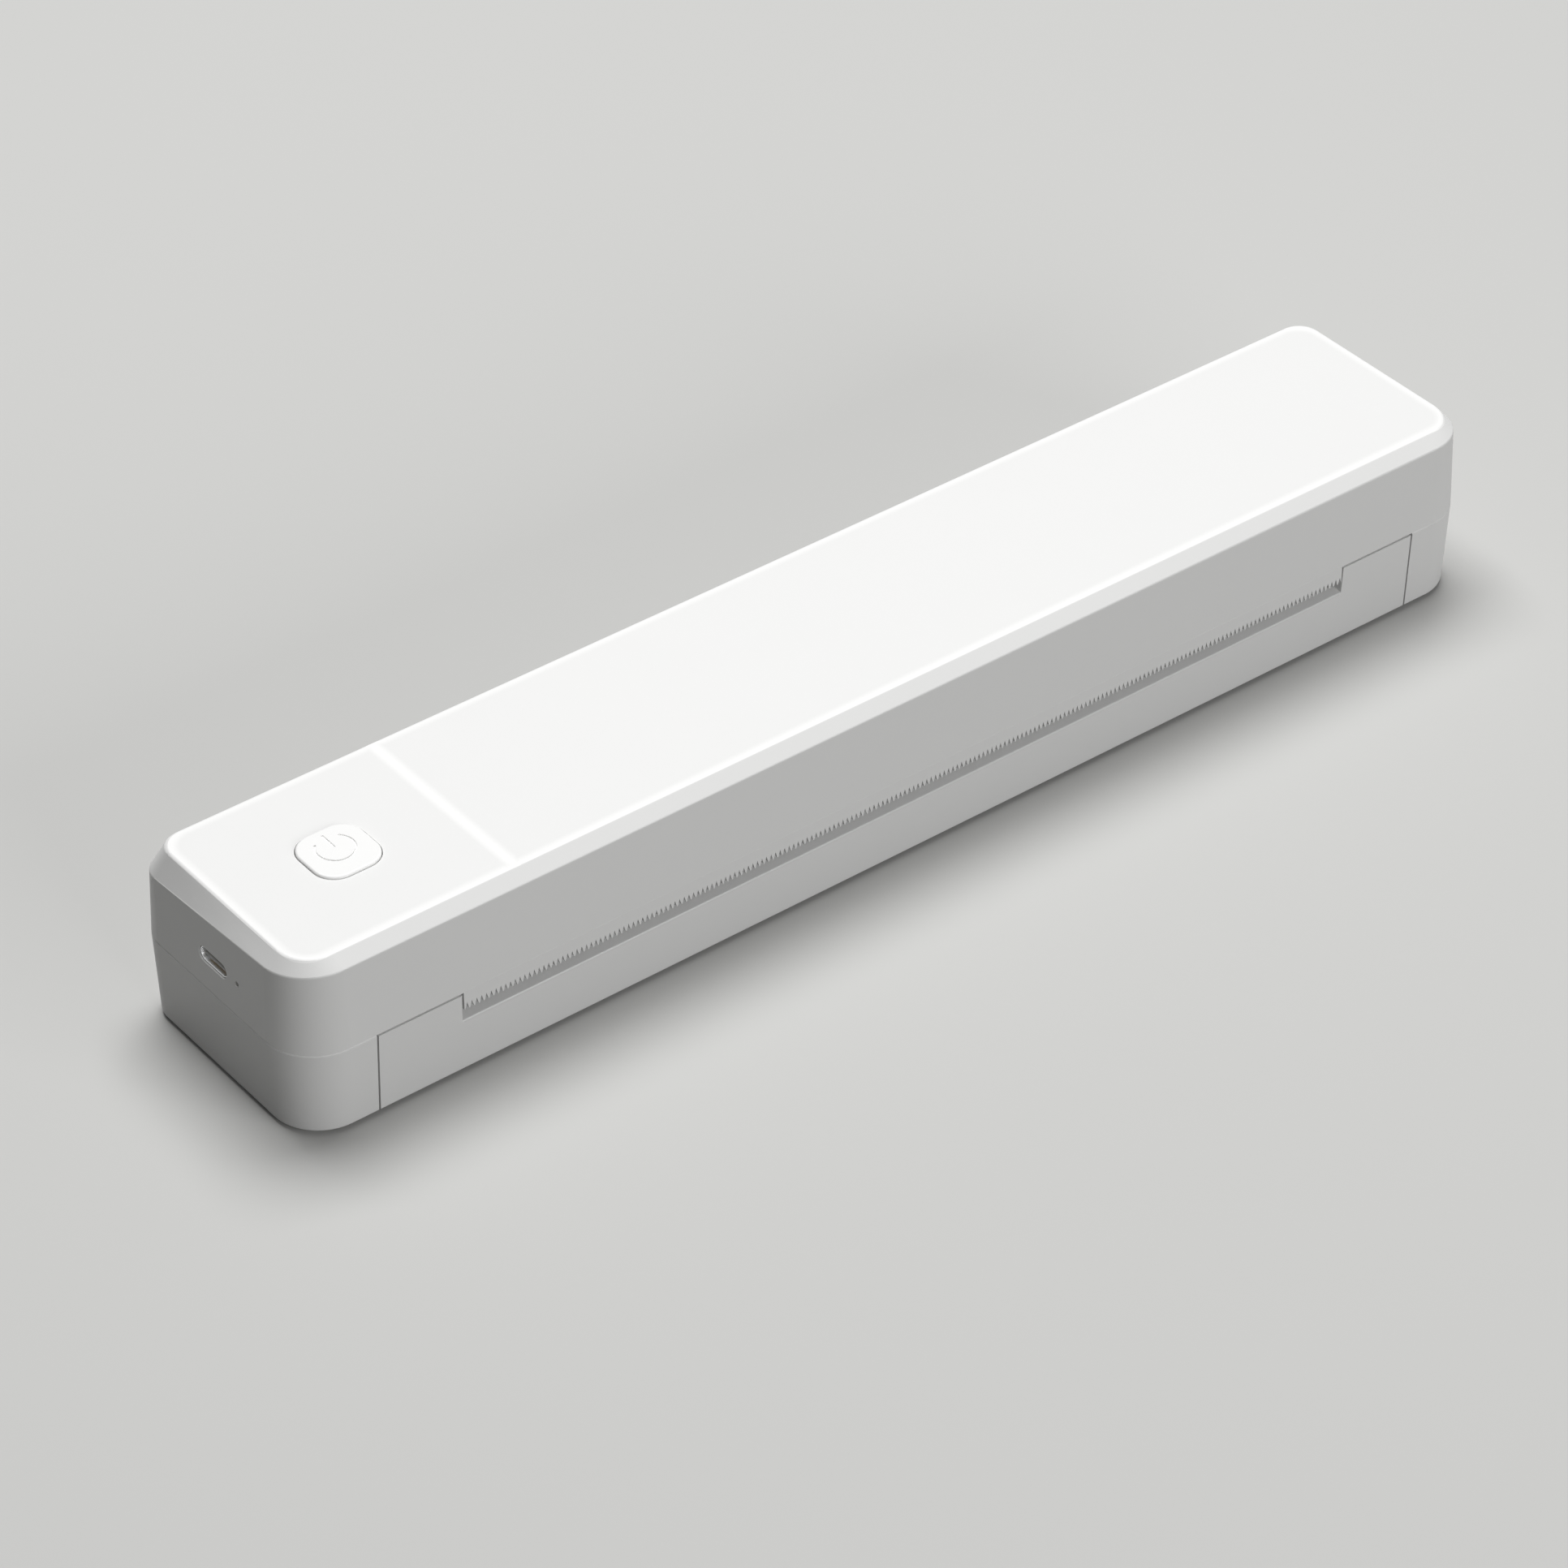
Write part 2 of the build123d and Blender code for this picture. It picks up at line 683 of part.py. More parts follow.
def end_cover(side):
    """Make the lower end cover on one side, with its screw bosses and hinge pin boss."""
    outer_x = sorted((side * cover_start, side * far))
    cavity_x = sorted((side * (cover_start + wall), side * far))
    with BuildPart(mode=Mode.PRIVATE) as cover:
        add(slice_along_x(lower_outer, outer_x))
        add(slice_along_x(lower_inner, cavity_x), mode=Mode.SUBTRACT)
        boss_x = side * case_boss_x
        for y in (-case_boss_y, case_boss_y):
            post(boss_x, y, (floor_z, parting_z), case_boss_radius)
        pin_x = sorted((side * cover_start, side * (cover_start + pin_grip)))
        rod(pin_x, hinge_y, hinge_z, knuckle_radius)
        block(pin_x, (hinge_y - knuckle_radius, hinge_y + knuckle_radius), (floor_z, hinge_z))
        rod(pin_x, hinge_y, hinge_z, pin_radius, Mode.SUBTRACT)
        block((-far, far), (-far, far), (parting_z, top_z), Mode.SUBTRACT)
        for y in (-case_boss_y, case_boss_y):
            recess_z = (bottom_z - cut_over, bottom_z + case_screw_recess)
            post(boss_x, y, recess_z, case_screw_head + screw_clearance, Mode.SUBTRACT)
            hole_z = (bottom_z, parting_z + cut_over)
            post(boss_x, y, hole_z, case_screw_radius + screw_clearance, Mode.SUBTRACT)
    return cover.part


with BuildPart() as left_end_cover:
    add(end_cover(-1))

with BuildPart() as right_end_cover:
    add(end_cover(1))

with BuildPart() as case_screws:
    for x in (-case_boss_x, case_boss_x):
        for y in (-case_boss_y, case_boss_y):
            head_z = bottom_z + case_screw_recess
            screw(x, y, head_z, parting_z + case_screw_reach, case_screw_radius, case_screw_head)

with BuildPart() as hinge_pins:
    for side in (-1, 1):
        pin_ends = sorted((side * knuckle_x[0], side * (cover_start + pin_grip)))
        rod(pin_ends, hinge_y, hinge_z, pin_radius)

# ------------------------------------------------------------------ platen and paper guide

guide_front = platen_y + roller_radius + guide_gap
guide_rear = tray_rear_inner - seat_clearance
guide_top = inlet_bottom_z - guide_drop
guide_half = slot_half + guide_margin
rib_pitch = slot_width / (rib_count - 1)

with BuildPart() as paper_guide:
    block((-guide_half, guide_half), (guide_front, guide_rear), (guide_top - guide_sheet, guide_top))
    turned_y = (guide_front, guide_front + guide_sheet)
    block((-guide_half, guide_half), turned_y, (guide_top - guide_turn, guide_top))
    for step in range(rib_count):
        rib_mid = (step - (rib_count - 1) / 2) * rib_pitch
        rib_x = (rib_mid - rib_width / 2, rib_mid + rib_width / 2)
        block(rib_x, (guide_front, guide_rear), (floor_z, guide_top + guide_ridge))

journal_end_left = -(bush_start + bush_length + free_gap)
journal_end_right = gear_plane_a + gear_width + stud_proud

with BuildPart() as platen_shaft:
    rod((-roller_half - core_stub, roller_half + core_stub), platen_y, platen_z, core_radius)
    rod((journal_end_left, journal_end_right), platen_y, platen_z, journal_radius)
    chamfer(faces().filter_by(Plane.YZ).sort_by(Axis.X)[-1].edges(), length=shaft_chamfer)
    chamfer(faces().filter_by(Plane.YZ).sort_by(Axis.X)[0].edges(), length=shaft_chamfer)

with BuildPart() as platen_rubber:
    rod((-roller_half, roller_half), platen_y, platen_z, roller_radius)
    rod((-roller_half, roller_half), platen_y, platen_z, core_radius, Mode.SUBTRACT)

with BuildPart() as platen_gear:
    gear_x = (gear_plane_a, gear_plane_a + gear_width)
    spur_gear(platen_teeth, gear_x, platen_y, platen_z, platen_phase, journal_radius)


def platen_bush(side):
    """Make one flanged platen bush; the flange faces the roller."""
    body_x = sorted((side * bush_start, side * (bush_start + bush_length)))
    flange_x = sorted((side * bush_start, side * (bush_start + bush_flange)))
    with BuildPart(mode=Mode.PRIVATE) as bush:
        rod(body_x, platen_y, platen_z, bush_radius)
        rod(flange_x, platen_y, platen_z, bush_flange_radius)
        rod(body_x, platen_y, platen_z, journal_radius + running_clearance, Mode.SUBTRACT)
    return bush.part


with BuildPart() as platen_bush_left:
    add(platen_bush(-1))

with BuildPart() as platen_bush_right:
    add(platen_bush(1))

# ------------------------------------------------------------------ head frame and gears

plate_foot_z = platen_z - plate_foot_drop
notch_radius = bush_radius + free_gap
ear_offset_y = motor_ear_pitch / 2 * cos(radians(motor_ear_direction))
ear_offset_z = motor_ear_pitch / 2 * sin(radians(motor_ear_direction))
ear_places = [
    (motor_y - ear_offset_y, motor_z - ear_offset_z),
    (motor_y + ear_offset_y, motor_z + ear_offset_z),
]
plate_rear = rod_y + plate_behind_rod
gear_plate_roof = ceiling_z - gear_plate_gap
gear_plate_floor = inner_cover_top + gear_plate_gap
gear_plate_step = motor_z + plate_above_motor
gear_plate_rear = motor_y + ear_offset_y + motor_ear_radius
left_plate = (-plate_outer, -frame_plate_inner)
right_plate = (frame_plate_inner, plate_outer)

with BuildPart() as head_frame:
    block((-plate_outer, plate_outer), (beam_front, beam_rear), (beam_z, beam_top))
    plate_points = [
        (beam_front, beam_top),
        (beam_front, platen_z + bush_flange_radius),
        (platen_y - bush_radius - plate_foot_ahead, plate_foot_z),
        (platen_y + bush_radius + plate_foot_behind, plate_foot_z),
        (plate_rear, rod_z - plate_below_rod),
        (plate_rear, beam_top),
    ]
    gear_plate_points = [
        (platen_y, beam_z),
        (platen_y, gear_plate_step),
        (reduction_y, gear_plate_roof),
        (motor_y + motor_radius, gear_plate_roof),
        (gear_plate_rear, gear_plate_step),
        (gear_plate_rear, gear_plate_floor),
        (rod_y, gear_plate_floor),
    ]
    notch_points = [
        (platen_y - notch_radius, platen_z),
        (platen_y - notch_radius, plate_foot_z),
        (platen_y + notch_radius + plate_foot_drop * tan(radians(notch_flare)), plate_foot_z),
        (platen_y + notch_radius, platen_z),
    ]
    for plate_x in (left_plate, right_plate):
        profile_along_x(plate_points, plate_x)
    profile_along_x(gear_plate_points, right_plate)
    for plate_x in (left_plate, right_plate):
        profile_along_x(notch_points, plate_x, Mode.SUBTRACT)
        rod(plate_x, platen_y, platen_z, notch_radius, Mode.SUBTRACT)
        rod(plate_x, rod_y, rod_z, rod_radius, Mode.SUBTRACT)
    rod(right_plate, idler_y, idler_z, stud_radius, Mode.SUBTRACT)
    rod(right_plate, reduction_y, reduction_z, stud_radius, Mode.SUBTRACT)
    rod(right_plate, motor_y, motor_z, 2 * motor_shaft_radius + free_gap, Mode.SUBTRACT)
    for y, z in ear_places:
        rod(right_plate, y, z, small_screw_radius + screw_clearance, Mode.SUBTRACT)
    for x in frame_boss_x:
        hole_z = (beam_z - cut_over, beam_top + cut_over)
        post(x, frame_boss_y, hole_z, small_screw_radius + screw_clearance, Mode.SUBTRACT)
    post(board_boss_x[1], -board_boss_y, hole_z, small_screw_head + free_gap, Mode.SUBTRACT)

with BuildPart() as frame_screws:
    for x in frame_boss_x:
        tip_z = beam_top + small_screw_reach
        screw(x, frame_boss_y, beam_z, tip_z, small_screw_radius, small_screw_head)

with BuildPart() as gear_studs:
    rod((frame_plate_inner, gear_plane_a + gear_width + stud_proud), idler_y, idler_z, stud_radius)
    stud_x = (frame_plate_inner, gear_plane_b + gear_width + stud_proud)
    rod(stud_x, reduction_y, reduction_z, stud_radius)

with BuildPart() as idler_gear:
    gear_x = (gear_plane_a, gear_plane_a + gear_width)
    spur_gear(idler_teeth, gear_x, idler_y, idler_z, idler_phase, stud_radius + running_clearance)

with BuildPart() as reduction_gear:
    small_x = (gear_plane_a, gear_plane_b)
    large_x = (gear_plane_b, gear_plane_b + gear_width)
    spur_gear(small_teeth, small_x, reduction_y, reduction_z, small_phase, 0)
    spur_gear(large_teeth, large_x, reduction_y, reduction_z, large_phase, 0)
    bore_x = (gear_plane_a, gear_plane_b + gear_width)
    rod(bore_x, reduction_y, reduction_z, stud_radius + running_clearance, Mode.SUBTRACT)

with BuildPart() as motor_pinion:
    gear_x = (gear_plane_b, gear_plane_b + gear_width)
    spur_gear(pinion_teeth, gear_x, motor_y, motor_z, pinion_phase, motor_shaft_radius)

motor_seat_x = motor_face - motor_shaft_seat

with BuildPart() as motor_shaft:
    shaft_x = (motor_seat_x + free_gap, gear_plane_b + gear_width + stud_proud)
    rod(shaft_x, motor_y, motor_z, motor_shaft_radius)

with BuildPart() as stepper_motor:
    rod((motor_back, motor_face), motor_y, motor_z, motor_radius)
    fillet(faces().sort_by(Axis.X)[0].edges(), radius=motor_back_fillet)
    with BuildSketch(across(motor_face - motor_ear_sheet, motor_y, motor_z)):
        SlotCenterToCenter(motor_ear_pitch, 2 * motor_ear_radius, rotation=motor_ear_direction)
    extrude(amount=motor_ear_sheet)
    for y, z in ear_places:
        rod((motor_back, motor_face), y, z, small_screw_radius, Mode.SUBTRACT)
    bore = motor_shaft_radius + running_clearance
    rod((motor_seat_x, motor_face), motor_y, motor_z, bore, Mode.SUBTRACT)

with BuildPart() as motor_screws:
    for y, z in ear_places:
        rod((motor_face - motor_ear_sheet, plate_outer), y, z, small_screw_radius)
        rod((plate_outer, plate_outer + plate_to_gear - slide_clearance), y, z, small_screw_head)

# ------------------------------------------------------------------ print head

head_front = platen_y - heatsink_ahead
head_rear = head_front + heatsink_depth
ceramic_rear = platen_y - ceramic_ahead + ceramic_depth
heatsink_half = slot_half + heatsink_overhang
spring_pitch = (slot_width - 2 * spring_inset) / (spring_count - 1)
flex_x = (flex_x_mid - flex_width / 2, flex_x_mid + flex_width / 2)

with BuildPart() as head_heatsink:
    block((-heatsink_half, heatsink_half), (head_front, head_rear), (heatsink_z, heatsink_top))
    for x in (-heatsink_half + lug_width, 0, heatsink_half - lug_width):
        lug_x = (x - lug_width / 2, x + lug_width / 2)
        block(lug_x, (head_rear - cut_over, rod_y), (heatsink_z + lug_step, heatsink_top))
        rod(lug_x, rod_y, rod_z, lug_radius)
        rod(lug_x, rod_y, rod_z, rod_radius + running_clearance, Mode.SUBTRACT)

with BuildPart() as head_ceramic:
    ceramic_y = (platen_y - ceramic_ahead, ceramic_rear)
    ceramic_half = slot_half + ceramic_overlap
    block((-ceramic_half, ceramic_half), ceramic_y, (ceramic_z, heatsink_z))

with BuildPart() as head_driver_cover:
    cover_y = (ceramic_rear + seat_clearance, ceramic_rear + seat_clearance + driver_cover_depth)
    block((-slot_half, slot_half), cover_y, (heatsink_z - driver_cover_height, heatsink_z))
    lower_edges = faces().sort_by(Axis.Z)[0].edges().filter_by(Axis.X)
    fillet(lower_edges, radius=driver_cover_height / 2)

with BuildPart() as head_connector:
    connector_z = (heatsink_top, heatsink_top + head_connector_height)
    connector_rear = head_rear - head_connector_inset
    block(flex_x, (connector_rear - head_connector_depth, connector_rear), connector_z)

with BuildPart() as head_pivot_rod:
    rod((-plate_outer, plate_outer), rod_y, rod_z, rod_radius)

with BuildPart() as head_springs:
    coil_height = spring_height - 2 * spring_wire
    for step in range(spring_count):
        x = (step - (spring_count - 1) / 2) * spring_pitch
        start_z = heatsink_top + spring_wire
        with BuildLine() as coil:
            Helix(coil_height / spring_turns, coil_height, spring_radius, center=(x, platen_y, start_z))
        with BuildSketch(Plane(origin=coil.line @ 0, z_dir=coil.line % 0)) as wire:
            Circle(spring_wire)
        sweep(wire.sketch, path=coil.line)

flex_y = beam_rear + flex_behind_beam
flex_front = head_rear - flex_start
flex_low = beam_z - flex_sheet - flex_below_beam
flex_top = board_z - flex_socket_height

with BuildPart() as head_flex:
    flex_points = [
        (flex_front, flex_low),
        (flex_y + flex_sheet, flex_low),
        (flex_y + flex_sheet, flex_top),
        (flex_y, flex_top),
        (flex_y, flex_low + flex_sheet),
        (flex_front, flex_low + flex_sheet),
    ]
    profile_along_x(flex_points, (flex_x[0] + flex_margin, flex_x[1] - flex_margin))

with BuildPart() as flex_socket:
    socket_front = beam_rear + flex_socket_gap
    block(flex_x, (socket_front, socket_front + flex_socket_depth), (flex_top, board_z))

# ------------------------------------------------------------------ inner cover and battery

cradle_x = (cradle_start, cell_end + contact_strip + cradle_wall)
cradle_z = (inner_cover_z, inner_cover_top + cradle_height)
inner_cover_rear = rear_y - wall - seat_clearance
sensor_x = (flex_x_mid - sensor_width / 2, flex_x_mid + sensor_width / 2)
sensor_front = inner_cover_front + sensor_behind
sensor_y = (sensor_front, sensor_front + sensor_depth)

with BuildPart() as inner_cover:
    cover_half = plate_outer
    sheet_z = (inner_cover_z, inner_cover_top)
    block((-cover_half, cover_half), (inner_cover_front, inner_cover_rear), sheet_z)
    block(cradle_x, (cradle_front, cradle_front + cradle_wall), cradle_z)
    cradle_y = (cradle_front, cell_y + cell_radius)
    block((cradle_x[0], cradle_x[0] + cradle_wall), cradle_y, cradle_z)
    block((cradle_x[1] - cradle_wall, cradle_x[1]), cradle_y, cradle_z)
    block(sensor_x, sensor_y, (inner_cover_z, inner_cover_top), Mode.SUBTRACT)
    for x in cover_boss_x:
        post(x, cover_boss_y, sheet_z, small_screw_radius + screw_clearance, Mode.SUBTRACT)

with BuildPart() as inner_cover_screws:
    for x in cover_boss_x:
        tip_z = inner_cover_top + small_screw_reach
        screw(x, cover_boss_y, inner_cover_z, tip_z, small_screw_radius, small_screw_head)

with BuildPart() as battery_cell_left:
    rod((cell_start, cell_1_end), cell_y, cell_z, cell_radius)
    fillet(edges(), radius=cell_fillet)

with BuildPart() as battery_cell_right:
    rod((cell_2_start, cell_end), cell_y, cell_z, cell_radius)
    fillet(edges(), radius=cell_fillet)

with BuildPart() as battery_contacts:
    contact_y = (cell_y - contact_size / 2, cell_y + contact_size / 2)
    contact_z = (cell_z - contact_size / 2, cell_z + contact_size / 2)
    block((cell_start - contact_strip, cell_start), contact_y, contact_z)
    block((cell_1_end, cell_2_start), contact_y, contact_z)
    block((cell_end, cell_end + contact_strip), contact_y, contact_z)

with BuildPart() as paper_sensor:
    block(
        (sensor_x[0] + seat_clearance, sensor_x[1] - seat_clearance),
        (sensor_y[0] + seat_clearance, sensor_y[1] - seat_clearance),
        (inner_cover_z + seat_clearance, inner_cover_z + sensor_height),
    )

# ------------------------------------------------------------------ main board

connector_end = board_end - connector_inset
connector_x = (connector_end - connector_length, connector_end)
wire_z = board_top + wire_height


def on_board(x, y, size, height):
    """Add a box that stands on the board, centred on x and y."""
    across_x = (x - size[0] / 2, x + size[0] / 2)
    across_y = (y - size[1] / 2, y + size[1] / 2)
    block(across_x, across_y, (board_top, board_top + height))


with BuildPart() as main_board:
    block((board_start, board_end), (-board_depth / 2, board_depth / 2), (board_z, board_top))
    for x in board_boss_x:
        for y in (-board_boss_y, board_boss_y):
            hole_z = (board_z - cut_over, board_top + cut_over)
            post(x, y, hole_z, small_screw_radius + screw_clearance, Mode.SUBTRACT)

with BuildPart() as board_screws:
    for x in board_boss_x:
        for y in (-board_boss_y, board_boss_y):
            tip_z = board_top + small_screw_reach
            screw(x, y, board_z, tip_z, small_screw_radius, small_screw_head)

with BuildPart() as usb_socket:
    with BuildSketch(across(left_wall_x + usb_recess, usb_offset, usb_z)) as mouth:
        SlotOverall(usb_width, usb_height)
    extrude(mouth.sketch, amount=usb_depth)
    with BuildSketch(across(left_wall_x + usb_recess, usb_offset, usb_z)) as cavity:
        SlotOverall(usb_width - 2 * usb_sheet, usb_height - 2 * usb_sheet)
    extrude(cavity.sketch, amount=usb_depth - usb_back, mode=Mode.SUBTRACT)
    usb_face = left_wall_x + usb_recess
    tongue_x = (usb_face + usb_tongue_recess, usb_face + usb_depth)
    tongue_y = (usb_offset - usb_tongue_width / 2, usb_offset + usb_tongue_width / 2)
    block(tongue_x, tongue_y, (usb_z - usb_tongue_sheet / 2, usb_z + usb_tongue_sheet / 2))

reset_face = board_start + reset_inset
reset_y = (reset_offset - reset_side / 2, reset_offset + reset_side / 2)
reset_bore = reset_plunger_radius + running_clearance
reset_bore_end = reset_face + reset_seat + reset_travel + free_gap

with BuildPart() as reset_switch:
    block((reset_face, reset_face + reset_side), reset_y, (board_top, board_top + reset_side))
    rod((reset_face, reset_bore_end), reset_offset, usb_z, reset_bore, Mode.SUBTRACT)

with BuildPart() as reset_plunger:
    plunger_x = (reset_face - reset_proud, reset_face + reset_seat)
    rod(plunger_x, reset_offset, usb_z, reset_plunger_radius)

with BuildPart() as power_switch:
    on_board(button_x, 0, (switch_side, switch_side), switch_height)
    switch_top = board_top + switch_height
    bore_z = (switch_top - plunger_half - button_travel - seat_clearance, switch_top)
    post(button_x, 0, bore_z, plunger_radius + running_clearance, Mode.SUBTRACT)

with BuildPart() as power_switch_plunger:
    plunger_z = (switch_top - plunger_half, switch_top + plunger_half)
    post(button_x, 0, plunger_z, plunger_radius)

with BuildPart() as status_light:
    light_y = switch_side / 2 + light_gap + light_size[1] / 2
    on_board(button_x, light_y, light_size, light_height)

with BuildPart() as controller_chip:
    on_board(board_end - chip_from_end, 0, (chip_size, chip_size), chip_height)

with BuildPart() as wireless_module:
    on_board(board_end - module_from_end, 0, module_size, module_height)

with BuildPart() as board_capacitors:
    for y in (-capacitor_y, capacitor_y):
        post(board_end - capacitor_from_end, y, (board_top, board_top + capacitor_height), capacitor_radius)

with BuildPart() as battery_connector:
    connector_mid = (connector_x[0] + connector_x[1]) / 2
    connector_size = (connector_length, connector_width)
    on_board(connector_mid, battery_connector_y, connector_size, connector_height)

with BuildPart() as motor_connector:
    on_board(connector_mid, motor_connector_y, connector_size, connector_height)

with BuildPart() as battery_leads:
    lead_end = cell_start - contact_strip
    for step in range(2):
        lead_z = wire_z + lead_pitch * step
        contact_z = cell_z + lead_pitch * step
        lead_points = [
            (connector_end, battery_connector_y, lead_z),
            (connector_end + lead_run, battery_connector_y, lead_z),
            (lead_end - lead_run, cell_y - lead_offset, contact_z),
            (lead_end, cell_y - lead_offset, contact_z),
        ]
        with BuildLine() as lead:
            FilletPolyline(*lead_points, radius=lead_bend)
        with BuildSketch(Plane(origin=lead.line @ 0, z_dir=lead.line % 0)) as wire:
            Circle(lead_radius)
        sweep(wire.sketch, path=lead.line)

with BuildPart() as motor_cable:
    exit_y = motor_y + cable_start[0]
    exit_z = motor_z + cable_start[1]
    cable_points = [
        (motor_back, exit_y, exit_z),
        (motor_back - cable_runs[0], exit_y, exit_z),
        (motor_back - cable_runs[1], motor_connector_y, wire_z),
        (connector_end, motor_connector_y, wire_z),
    ]
    with BuildLine() as cable:
        FilletPolyline(*cable_points, radius=cable_bend)
    with BuildSketch(Plane(origin=cable.line @ 0, z_dir=cable.line % 0)) as wire:
        Circle(cable_radius)
    sweep(wire.sketch, path=cable.line)

# ------------------------------------------------------------------ power button

with BuildPart() as power_button:
    flange_top = ceiling_z - slide_clearance
    with BuildSketch(Plane.XY.offset(flange_top - button_flange)) as cap:
        with Locations((button_x, 0)):
            RectangleRounded(button_size, button_size, button_corner)
    extrude(cap.sketch, amount=top_z + button_proud - flange_top + button_flange)
    fillet(faces().sort_by(Axis.Z)[-1].edges(), radius=button_fillet)
    with BuildSketch(Plane.XY.offset(flange_top - button_flange)) as flange:
        with Locations((button_x, 0)):
            rim_size = button_size + 2 * button_rim
            RectangleRounded(rim_size, rim_size, button_corner + button_rim)
    extrude(flange.sketch, amount=button_flange)
    stem_z = (switch_top + plunger_half, flange_top)
    post(button_x, 0, stem_z, button_stem_radius)
    with BuildSketch(Plane.XY.offset(top_z + button_proud)) as sign:
        with Locations((button_x, 0)):
            with BuildLine(mode=Mode.PRIVATE) as ring:
                CenterArc((0, 0), sign_radius, 90 + sign_opening / 2, 360 - sign_opening)
            with Locations((0, sign_offset)):
                SlotArc(ring.edges()[0], sign_groove)
            with Locations((0, sign_bar_offset)):
                SlotOverall(sign_bar, sign_groove, rotation=90)
    extrude(sign.sketch, amount=-sign_depth, mode=Mode.SUBTRACT)

# ------------------------------------------------------------------ write the pieces

pieces = {
    "top_shell": top_shell,
    "left_end_cover": left_end_cover,
    "right_end_cover": right_end_cover,
    "case_screws": case_screws,
    "hinge_pins": hinge_pins,
    "base_tray": base_tray,
    "rubber_feet": rubber_feet,
    "paper_guide": paper_guide,
    "platen_shaft": platen_shaft,
    "platen_rubber": platen_rubber,
    "platen_gear": platen_gear,
    "platen_bush_left": platen_bush_left,
    "platen_bush_right": platen_bush_right,
    "head_frame": head_frame,
    "frame_screws": frame_screws,
    "gear_studs": gear_studs,
    "idler_gear": idler_gear,
    "reduction_gear": reduction_gear,
    "motor_pinion": motor_pinion,
    "motor_shaft": motor_shaft,
    "stepper_motor": stepper_motor,
    "motor_screws": motor_screws,
    "head_heatsink": head_heatsink,
    "head_ceramic": head_ceramic,
    "head_driver_cover": head_driver_cover,
    "head_connector": head_connector,
    "head_pivot_rod": head_pivot_rod,
    "head_springs": head_springs,
    "head_flex": head_flex,
    "flex_socket": flex_socket,
    "inner_cover": inner_cover,
    "inner_cover_screws": inner_cover_screws,
    "battery_cell_left": battery_cell_left,
    "battery_cell_right": battery_cell_right,
    "battery_contacts": battery_contacts,
    "battery_leads": battery_leads,
    "battery_connector": battery_connector,
    "paper_sensor": paper_sensor,
    "main_board": main_board,
    "board_screws": board_screws,
    "board_capacitors": board_capacitors,
    "controller_chip": controller_chip,
    "wireless_module": wireless_module,
    "status_light": status_light,
    "usb_socket": usb_socket,
    "reset_switch": reset_switch,
    "reset_plunger": reset_plunger,
    "power_switch": power_switch,
    "power_switch_plunger": power_switch_plunger,
    "motor_connector": motor_connector,
    "motor_cable": motor_cable,
    "power_button": power_button,
}

for name, piece in pieces.items():
    piece.part.label = name
    export_step(piece.part, f"parts/{name}.step")
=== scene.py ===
"""Dresses the A4 portable thermal printer: its finishes, its fine pieces, a plain studio and the camera.

Lengths are in metres in the printer's own frame: X runs along the length with the USB end at -X, -Y is
the paper exit at the front, +Z is up, and the origin is the centre of the footprint on the floor.
"""

import json
import logging
from dataclasses import dataclass
from enum import Enum
from math import cos, pi, radians, sin
from typing import Any

import bmesh
import bpy
from mathutils import Matrix, Vector


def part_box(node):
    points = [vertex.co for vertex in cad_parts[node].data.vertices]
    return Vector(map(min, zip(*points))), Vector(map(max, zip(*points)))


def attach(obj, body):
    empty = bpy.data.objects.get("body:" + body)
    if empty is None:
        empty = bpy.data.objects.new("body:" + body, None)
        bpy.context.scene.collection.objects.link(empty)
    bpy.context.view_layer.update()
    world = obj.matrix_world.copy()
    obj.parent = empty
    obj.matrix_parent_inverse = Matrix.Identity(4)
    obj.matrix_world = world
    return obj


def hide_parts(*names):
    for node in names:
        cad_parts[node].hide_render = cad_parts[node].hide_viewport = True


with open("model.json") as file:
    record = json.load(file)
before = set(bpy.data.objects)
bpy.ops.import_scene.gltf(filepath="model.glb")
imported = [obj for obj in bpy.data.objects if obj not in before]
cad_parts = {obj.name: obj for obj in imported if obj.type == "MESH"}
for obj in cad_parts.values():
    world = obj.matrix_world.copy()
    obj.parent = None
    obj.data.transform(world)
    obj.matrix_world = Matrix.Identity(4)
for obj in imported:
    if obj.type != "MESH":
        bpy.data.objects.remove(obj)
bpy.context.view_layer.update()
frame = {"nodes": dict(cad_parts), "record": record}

log = logging.getLogger("printer")

MM = 0.001
LIP_TOP = 12.75  # mm, the height of the lip below the paper slot
SLOT_HALF = 108.0  # mm, half the length of the paper slot


def linear(hex_colour: str) -> tuple[float, float, float, float]:
    """Turn an sRGB hex colour into linear RGBA.

    Args:
        hex_colour: six hex digits, as written for the web.

    Returns:
        The linear red, green and blue, with an alpha of 1.
    """
    channels = [int(hex_colour[i:i + 2], 16) / 255 for i in (0, 2, 4)]
    straight = [c / 12.92 if c <= 0.04045 else ((c + 0.055) / 1.055) ** 2.4 for c in channels]
    return (*straight, 1.0)


def add_node(tree: bpy.types.NodeTree, kind: str, inputs: dict[Any, Any], **settings: Any) -> bpy.types.Node:
    """Add a node with its settings, input values and links.

    Args:
        tree: the material's node tree.
        kind: the node's type.
        inputs: by input name or index, either a value or the output socket that feeds it.
        settings: the node's own attributes.

    Returns:
        The new node.
    """
    made = tree.nodes.new(kind)
    for name, value in settings.items():
        setattr(made, name, value)
    for key, value in inputs.items():
        if isinstance(value, bpy.types.NodeSocket):
            tree.links.new(value, made.inputs[key])
        else:
            made.inputs[key].default_value = value
    return made


